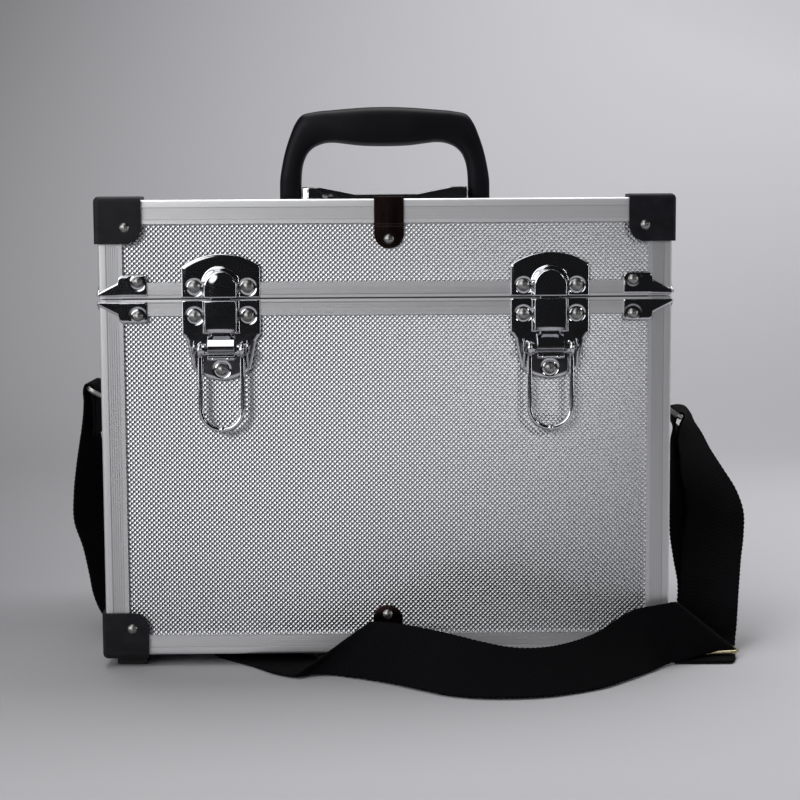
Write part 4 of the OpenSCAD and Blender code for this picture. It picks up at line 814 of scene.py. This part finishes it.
both_legs = np.concatenate([handle_outline, handle_outline[-2::-1] * [-1, 1, -1, 1]])
middle_line = (both_legs[:, :2] + both_legs[:, 2:]) / 2
knots = np.concatenate([[0], np.cumsum(np.linalg.norm(np.diff(middle_line, axis=0), axis=1))])
steps = np.linspace(0, knots[-1], 161)
outline = smooth_line(both_legs, knots, steps)
share = np.minimum(steps, knots[-1] - steps) / (knots[-1] / 2)
grip_share = np.sin(np.pi / 2 * np.clip((share - grip_start) / grip_rise, 0, 1)) ** 2
leg_share = np.clip(share / leg_part, 0, 1)
leg_limit = 2 * leg_end_radius * (1 - leg_share) + leg_depth * leg_share + np.maximum(share - leg_part, 0)
depth = np.minimum(leg_depth + (grip_depth - leg_depth) * grip_share, leg_limit)
round_end = np.linspace(np.pi / 2, 0, 9)[1:]
end_up = pivot_height - leg_end_radius * np.cos(round_end)
end_depth = 2 * leg_end_radius * np.maximum(np.sin(round_end), 0.04)
right_end, left_end = [grid_of(side * leg_outside, end_up, side * leg_inside, end_up) for side in (1, -1)]
outline = np.concatenate([right_end[::-1], outline, left_end])
depth = np.concatenate([end_depth[::-1], depth, end_depth])
turn = np.linspace(0, full_turn, 44, endpoint=False)
out_share = np.sign(np.cos(turn)) * np.abs(np.cos(turn)) ** oval_power
deep_share = np.sign(np.sin(turn)) * np.abs(np.sin(turn)) ** oval_power
narrowed = 1 - chamfer_slope * np.maximum(-out_share - chamfer_from, 0)
deep_share = np.sign(deep_share) * np.minimum(np.abs(deep_share), narrowed)
outer_edge, inner_edge = [grid_of(outline[:, i], 0, outline[:, i + 1] + handle_seat) for i in (0, 2)]
centre, reach = (outer_edge + inner_edge) / 2, (outer_edge - inner_edge) / 2
rings = centre[:, None] + reach[:, None] * out_share[None, :, None]
rings[..., 1] += deep_share[None] * depth[:, None] / 2
handle = tube_of("carrying_handle", rings[:, ::-1])
handle_finish = Finish("handle plastic", Specular_IOR_Level=0.11)
where = handle_finish.place()
grain = handle_finish.cloud(where, 1800.0, 3.0)
shine = handle_finish.cloud(where, 30.0, 3.0)
handle_finish.coloured(shine * 1.4 - 0.2, (0.004, 0.0035, 0.005), (0.010, 0.009, 0.012))
handle_finish.feed("Roughness", 0.36 + shine * 0.12)
handle_finish.feed("Normal", handle_finish.raised(grain, 0.00006, 0.3))
handle.data.materials.append(handle_finish.material)
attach(handle, "handle")
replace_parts(handle, "handle_grip")

# Strap: black webbing, 38 mm wide and 1.8 mm thick, woven in chevrons with thick selvedges. It hangs from the
# left ring, runs under the front edge, stands on edge round the right corner and goes up through the slider
# to the right ring. A station is the webbing's two edges in millimetres, front or lower first.
webbing_half, webbing_thickness, webbing_step, ring_wire = 19, 0.0018, 0.0006, 2.7
edge_turn, chevron_wide, weft_wide, warp_wide = 0.003, 0.0095, 0.0026, 0.0012
above_floor, selvedge_at = 0.0002, 0.02


def level(x, z):
    """A station square across the ring's bar."""
    return [[x, -webbing_half, z], [x, webbing_half, z]]


def round_bar(x, z):
    """Five stations half way round a ring's bar, from its outer side over the top."""
    return [level(x + ring_wire * np.cos(a), z + ring_wire * np.sin(a)) for a in np.linspace(0, np.pi, 5)]


left_loop_route = [
    level(-187.6, 128), level(-187.2, 140), level(-187.4, 150), *round_bar(-190.6, 158.6),
    level(-193.4, 150), [[-194.2, -19, 140], [-192, 18.9, 140]], [[-196, -19, 128], [-190.4, 18.6, 128]]]
main_route = [
    [[-196, -19, 128], [-190.4, 18.6, 128]], [[-199.4, -18, 108], [-187.6, 18, 108]],
    [[-201.6, -17.4, 90], [-186.2, 17.3, 90]], [[-202, -17, 72], [-185, 17, 72]],
    [[-196.6, -17.4, 55], [-181, 17, 55]], [[-192.6, -18, 37], [-179, 17.4, 37]],
    [[-190, -18.6, 24], [-178.6, 17.6, 24]], [[-184, -19, 11], [-175, 18, 11]],
    [[-175, -20, 3.6], [-167.6, 17.4, 3.6]], [[-162, -22, 1.4], [-152, 14.7, 1.4]],
    [[-148, -28, 1.2], [-130, 5.5, 1.2]], [[-133, -44, 1.2], [-107, -16, 1.2]],
    [[-117, -68, 1.2], [-89, -42, 1.2]], [[-99, -98, 1.2], [-70, -73.5, 1.2]],
    [[-80, -118, 1.2], [-50, -95, 1.2]], [[-66, -136, 1.2], [-38, -110, 2.4]],
    [[-58, -143, 1.4], [-28, -117, 6.6]], [[-54, -145, 1.6], [-18, -120, 16]],
    [[-52, -145, 2], [-10, -122, 28]], [[-48, -141, 1.6], [-7, -124, 28.6]],
    [[-36, -139, 1.2], [-4, -126, 28.8]], [[-20, -146, 1.2], [-1, -129, 29]],
    [[-3, -157, 1.2], [5, -133, 29.2]], [[17, -174, 1.2], [21, -146, 29.2]],
    [[35, -188, 1.2], [38, -159, 28]], [[52, -194, 1.2], [54, -165, 25.4]],
    [[68, -195, 1.2], [70, -166, 22.6]], [[84, -193, 1.2], [86, -163, 21.4]],
    [[103, -185, 1.2], [102, -155, 21.6]], [[122, -173, 1.2], [116, -146, 23.8]],
    [[140, -154, 1.2], [128, -132, 26]], [[155, -136, 1.2], [142, -122, 32]],
    [[170, -118.8, 1.6], [153, -118.8, 35]], [[179.5, -115.6, 2.6], [156.5, -119.6, 35.8]],
    [[188, -110.4, 3.6], [160, -119.8, 36.6]],
    [[202.6, -103, 4.2], [166, -119.4, 37.4]], [[207.4, -100.2, 4.6], [170, -118.2, 37.8]],
    [[209.2, -97, 5.2], [173, -114, 35.6]], [[209.4, -95, 4.8], [174.6, -109, 24]],
    [[209.4, -94, 4.4], [175, -103, 10]]]
right_front_run = [
    [[171.2, -118.2, 1.2], [205, -118.2, 1.2]], [[171.4, -114, 1.2], [207.4, -113.6, 1.2]],
    [[171.8, -108, 1.2], [208.6, -108, 1.2]],
    [[173.2, -97, 1.2], [210.4, -97, 1.2]], [[174.6, -89.5, 2.2], [211.8, -89.5, 2.2]],
    [[175.4, -85, 7], [213, -84.6, 7]], [[176.8, -82.4, 15], [214.6, -81.4, 15]],
    [[179, -78, 26], [216.4, -76, 26]], [[181.4, -70, 38], [219, -67, 38]],
    [[184, -59, 52], [221.8, -56, 52]], [[187, -50, 66], [225.4, -45, 66]],
    [[189.4, -43.5, 79], [226.8, -37, 79]], [[189, -41, 91], [224, -26.5, 91]],
    [[186.6, -38.2, 103], [217.4, -16, 103]], [[187, -31.6, 114], [211.6, -2.6, 114]],
    [[187, -21.6, 125], [207.2, 10.6, 125]], [[188.2, -20.4, 130.6], [203.6, 14.4, 131]],
    [[190.4, -19.3, 135.2], [201, 17.2, 137]], [[191.7, -19, 138.4], [198, 18.6, 140.4]],
    [[189.6, -19, 139.9], [193, 19, 141.2]], [[187.8, -19, 139], [188.4, 19, 140.2]],
    [[186.4, -19, 136], [186, 19, 136]], [[185, -20.4, 131], [190, 17.2, 131]],
    [[183.2, -22.6, 125], [195.8, 13.2, 125]],
    [[181.4, -30.6, 114], [205.2, -1, 114]]]
right_tail_run = [
    [[181.4, -30.6, 114], [205.2, -1, 114]],
    [[180, -37.4, 103], [211.4, -16.4, 103]], [[179.6, -40.8, 91], [214.6, -26.2, 91]],
    [[179.4, -41.8, 79], [216.8, -35, 79]], [[178.6, -47.2, 66], [216.6, -42.2, 66]],
    [[179.6, -55.6, 52], [217.2, -52.6, 52]], [[181, -66, 38], [218.4, -63, 38]],
    [[179.4, -74, 26], [216.8, -72, 26]], [[177.6, -78, 16], [215, -77, 16]]]

webbing_finish = Finish("black webbing", Specular_IOR_Level=0.08)
thread_u, thread_v = webbing_finish.parts(webbing_finish.node("ShaderNodeUVMap", {"uv_map": "threads"}), 2)
fold = (thread_u / chevron_wide).into("PINGPONG", 1.0)
rib = ((thread_v / weft_wide + fold * 1.6) * full_turn).into("SINE") * 0.5 + 0.5
warp = (thread_u / warp_wide * full_turn).into("SINE") * 0.5 + 0.5
where = webbing_finish.place()
lint = webbing_finish.cloud(where, 1500.0, 3.0, 0.6)
fade = webbing_finish.cloud(where, 18.0)
webbing_finish.coloured(rib * 0.3 + warp * 0.2 + lint * 0.45 + fade * 0.3 - 0.25,
                        (0.0016, 0.0015, 0.0020), (0.0044, 0.0041, 0.0054))
webbing_finish.feed("Roughness", 0.80 + lint * 0.18)
webbing_finish.feed("Normal", webbing_finish.raised(rib * 0.7 + warp * 0.3, 0.00025, 0.6))


def webbing(name, route, body):
    """Webbing through the stations: both edges are cubics, read every 0.6 mm. Its section is a flat ring with
    thicker round edges, which swell a little every 3 mm, where the weft turns, and wander slightly. The map
    gives metres across and along."""
    edges = np.array(route, float) / 1000
    middle = edges.mean(1)
    knots = np.concatenate([[0], np.cumsum(np.linalg.norm(np.diff(middle, axis=0), axis=1))])
    at = np.linspace(0, knots[-1], int(knots[-1] / webbing_step) + 2)
    near, far = smooth_line(edges[:, 0], knots, at), smooth_line(edges[:, 1], knots, at)
    middle, span = (near + far) / 2, far - near
    width = np.linalg.norm(span, axis=1, keepdims=True)
    span /= width
    facing = np.cross(np.gradient(middle, at, axis=0), span)
    facing /= np.linalg.norm(facing, axis=1, keepdims=True)
    swell = 0.0005 * np.abs(np.cos(at / edge_turn * np.pi))
    wander = 0.00035 * np.sin(at / 0.041) * np.sin(at / 0.0137)
    share = np.array([0, 0.004, 0.02, 0.05, 0.2, 0.35, 0.5, 0.65, 0.8, 0.95, 0.98, 0.996, 1])
    lift = np.array([0, 0.62, 1.0, 0.92, 0.90, 0.92, 0.90, 0.92, 0.90, 0.92, 1.0, 0.62, 0])
    lift *= webbing_thickness / 2
    ring_share = np.concatenate([share, share[-2:0:-1]])
    ring_lift = np.concatenate([lift, -lift[-2:0:-1]])
    across = (ring_share - 0.5) * (width + 2 * (swell + wander)[:, None])
    rings = middle[:, None] + span[:, None] * across[..., None] + facing[:, None] * ring_lift[None, :, None]
    rings[..., 2] = np.maximum(rings[..., 2], above_floor)
    made = tube_of(name, rings)
    mapped(made.data, "threads", grid_of(across + selvedge_at, at[:, None]).reshape(-1, 2))
    made.data.materials.append(webbing_finish.material)
    if body:
        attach(made, body)
    return made, middle[::8].tolist() + [middle[-1].tolist()], float(knots[-1])


left_loop = webbing("webbing_left_loop", left_loop_route, None)[0]
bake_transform(left_loop)
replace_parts(left_loop, "strap_left_loop")
main_webbing, main_line, main_length = webbing("webbing_main", main_route, "body")
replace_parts(main_webbing, "strap_main")
right_loop, right_line, right_length = webbing("webbing_right_loop", right_front_run, None)
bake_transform(right_loop)
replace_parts(right_loop, "strap_right_loop")
right_tail = webbing("webbing_right_tail", right_tail_run, None)[0]
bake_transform(right_tail)
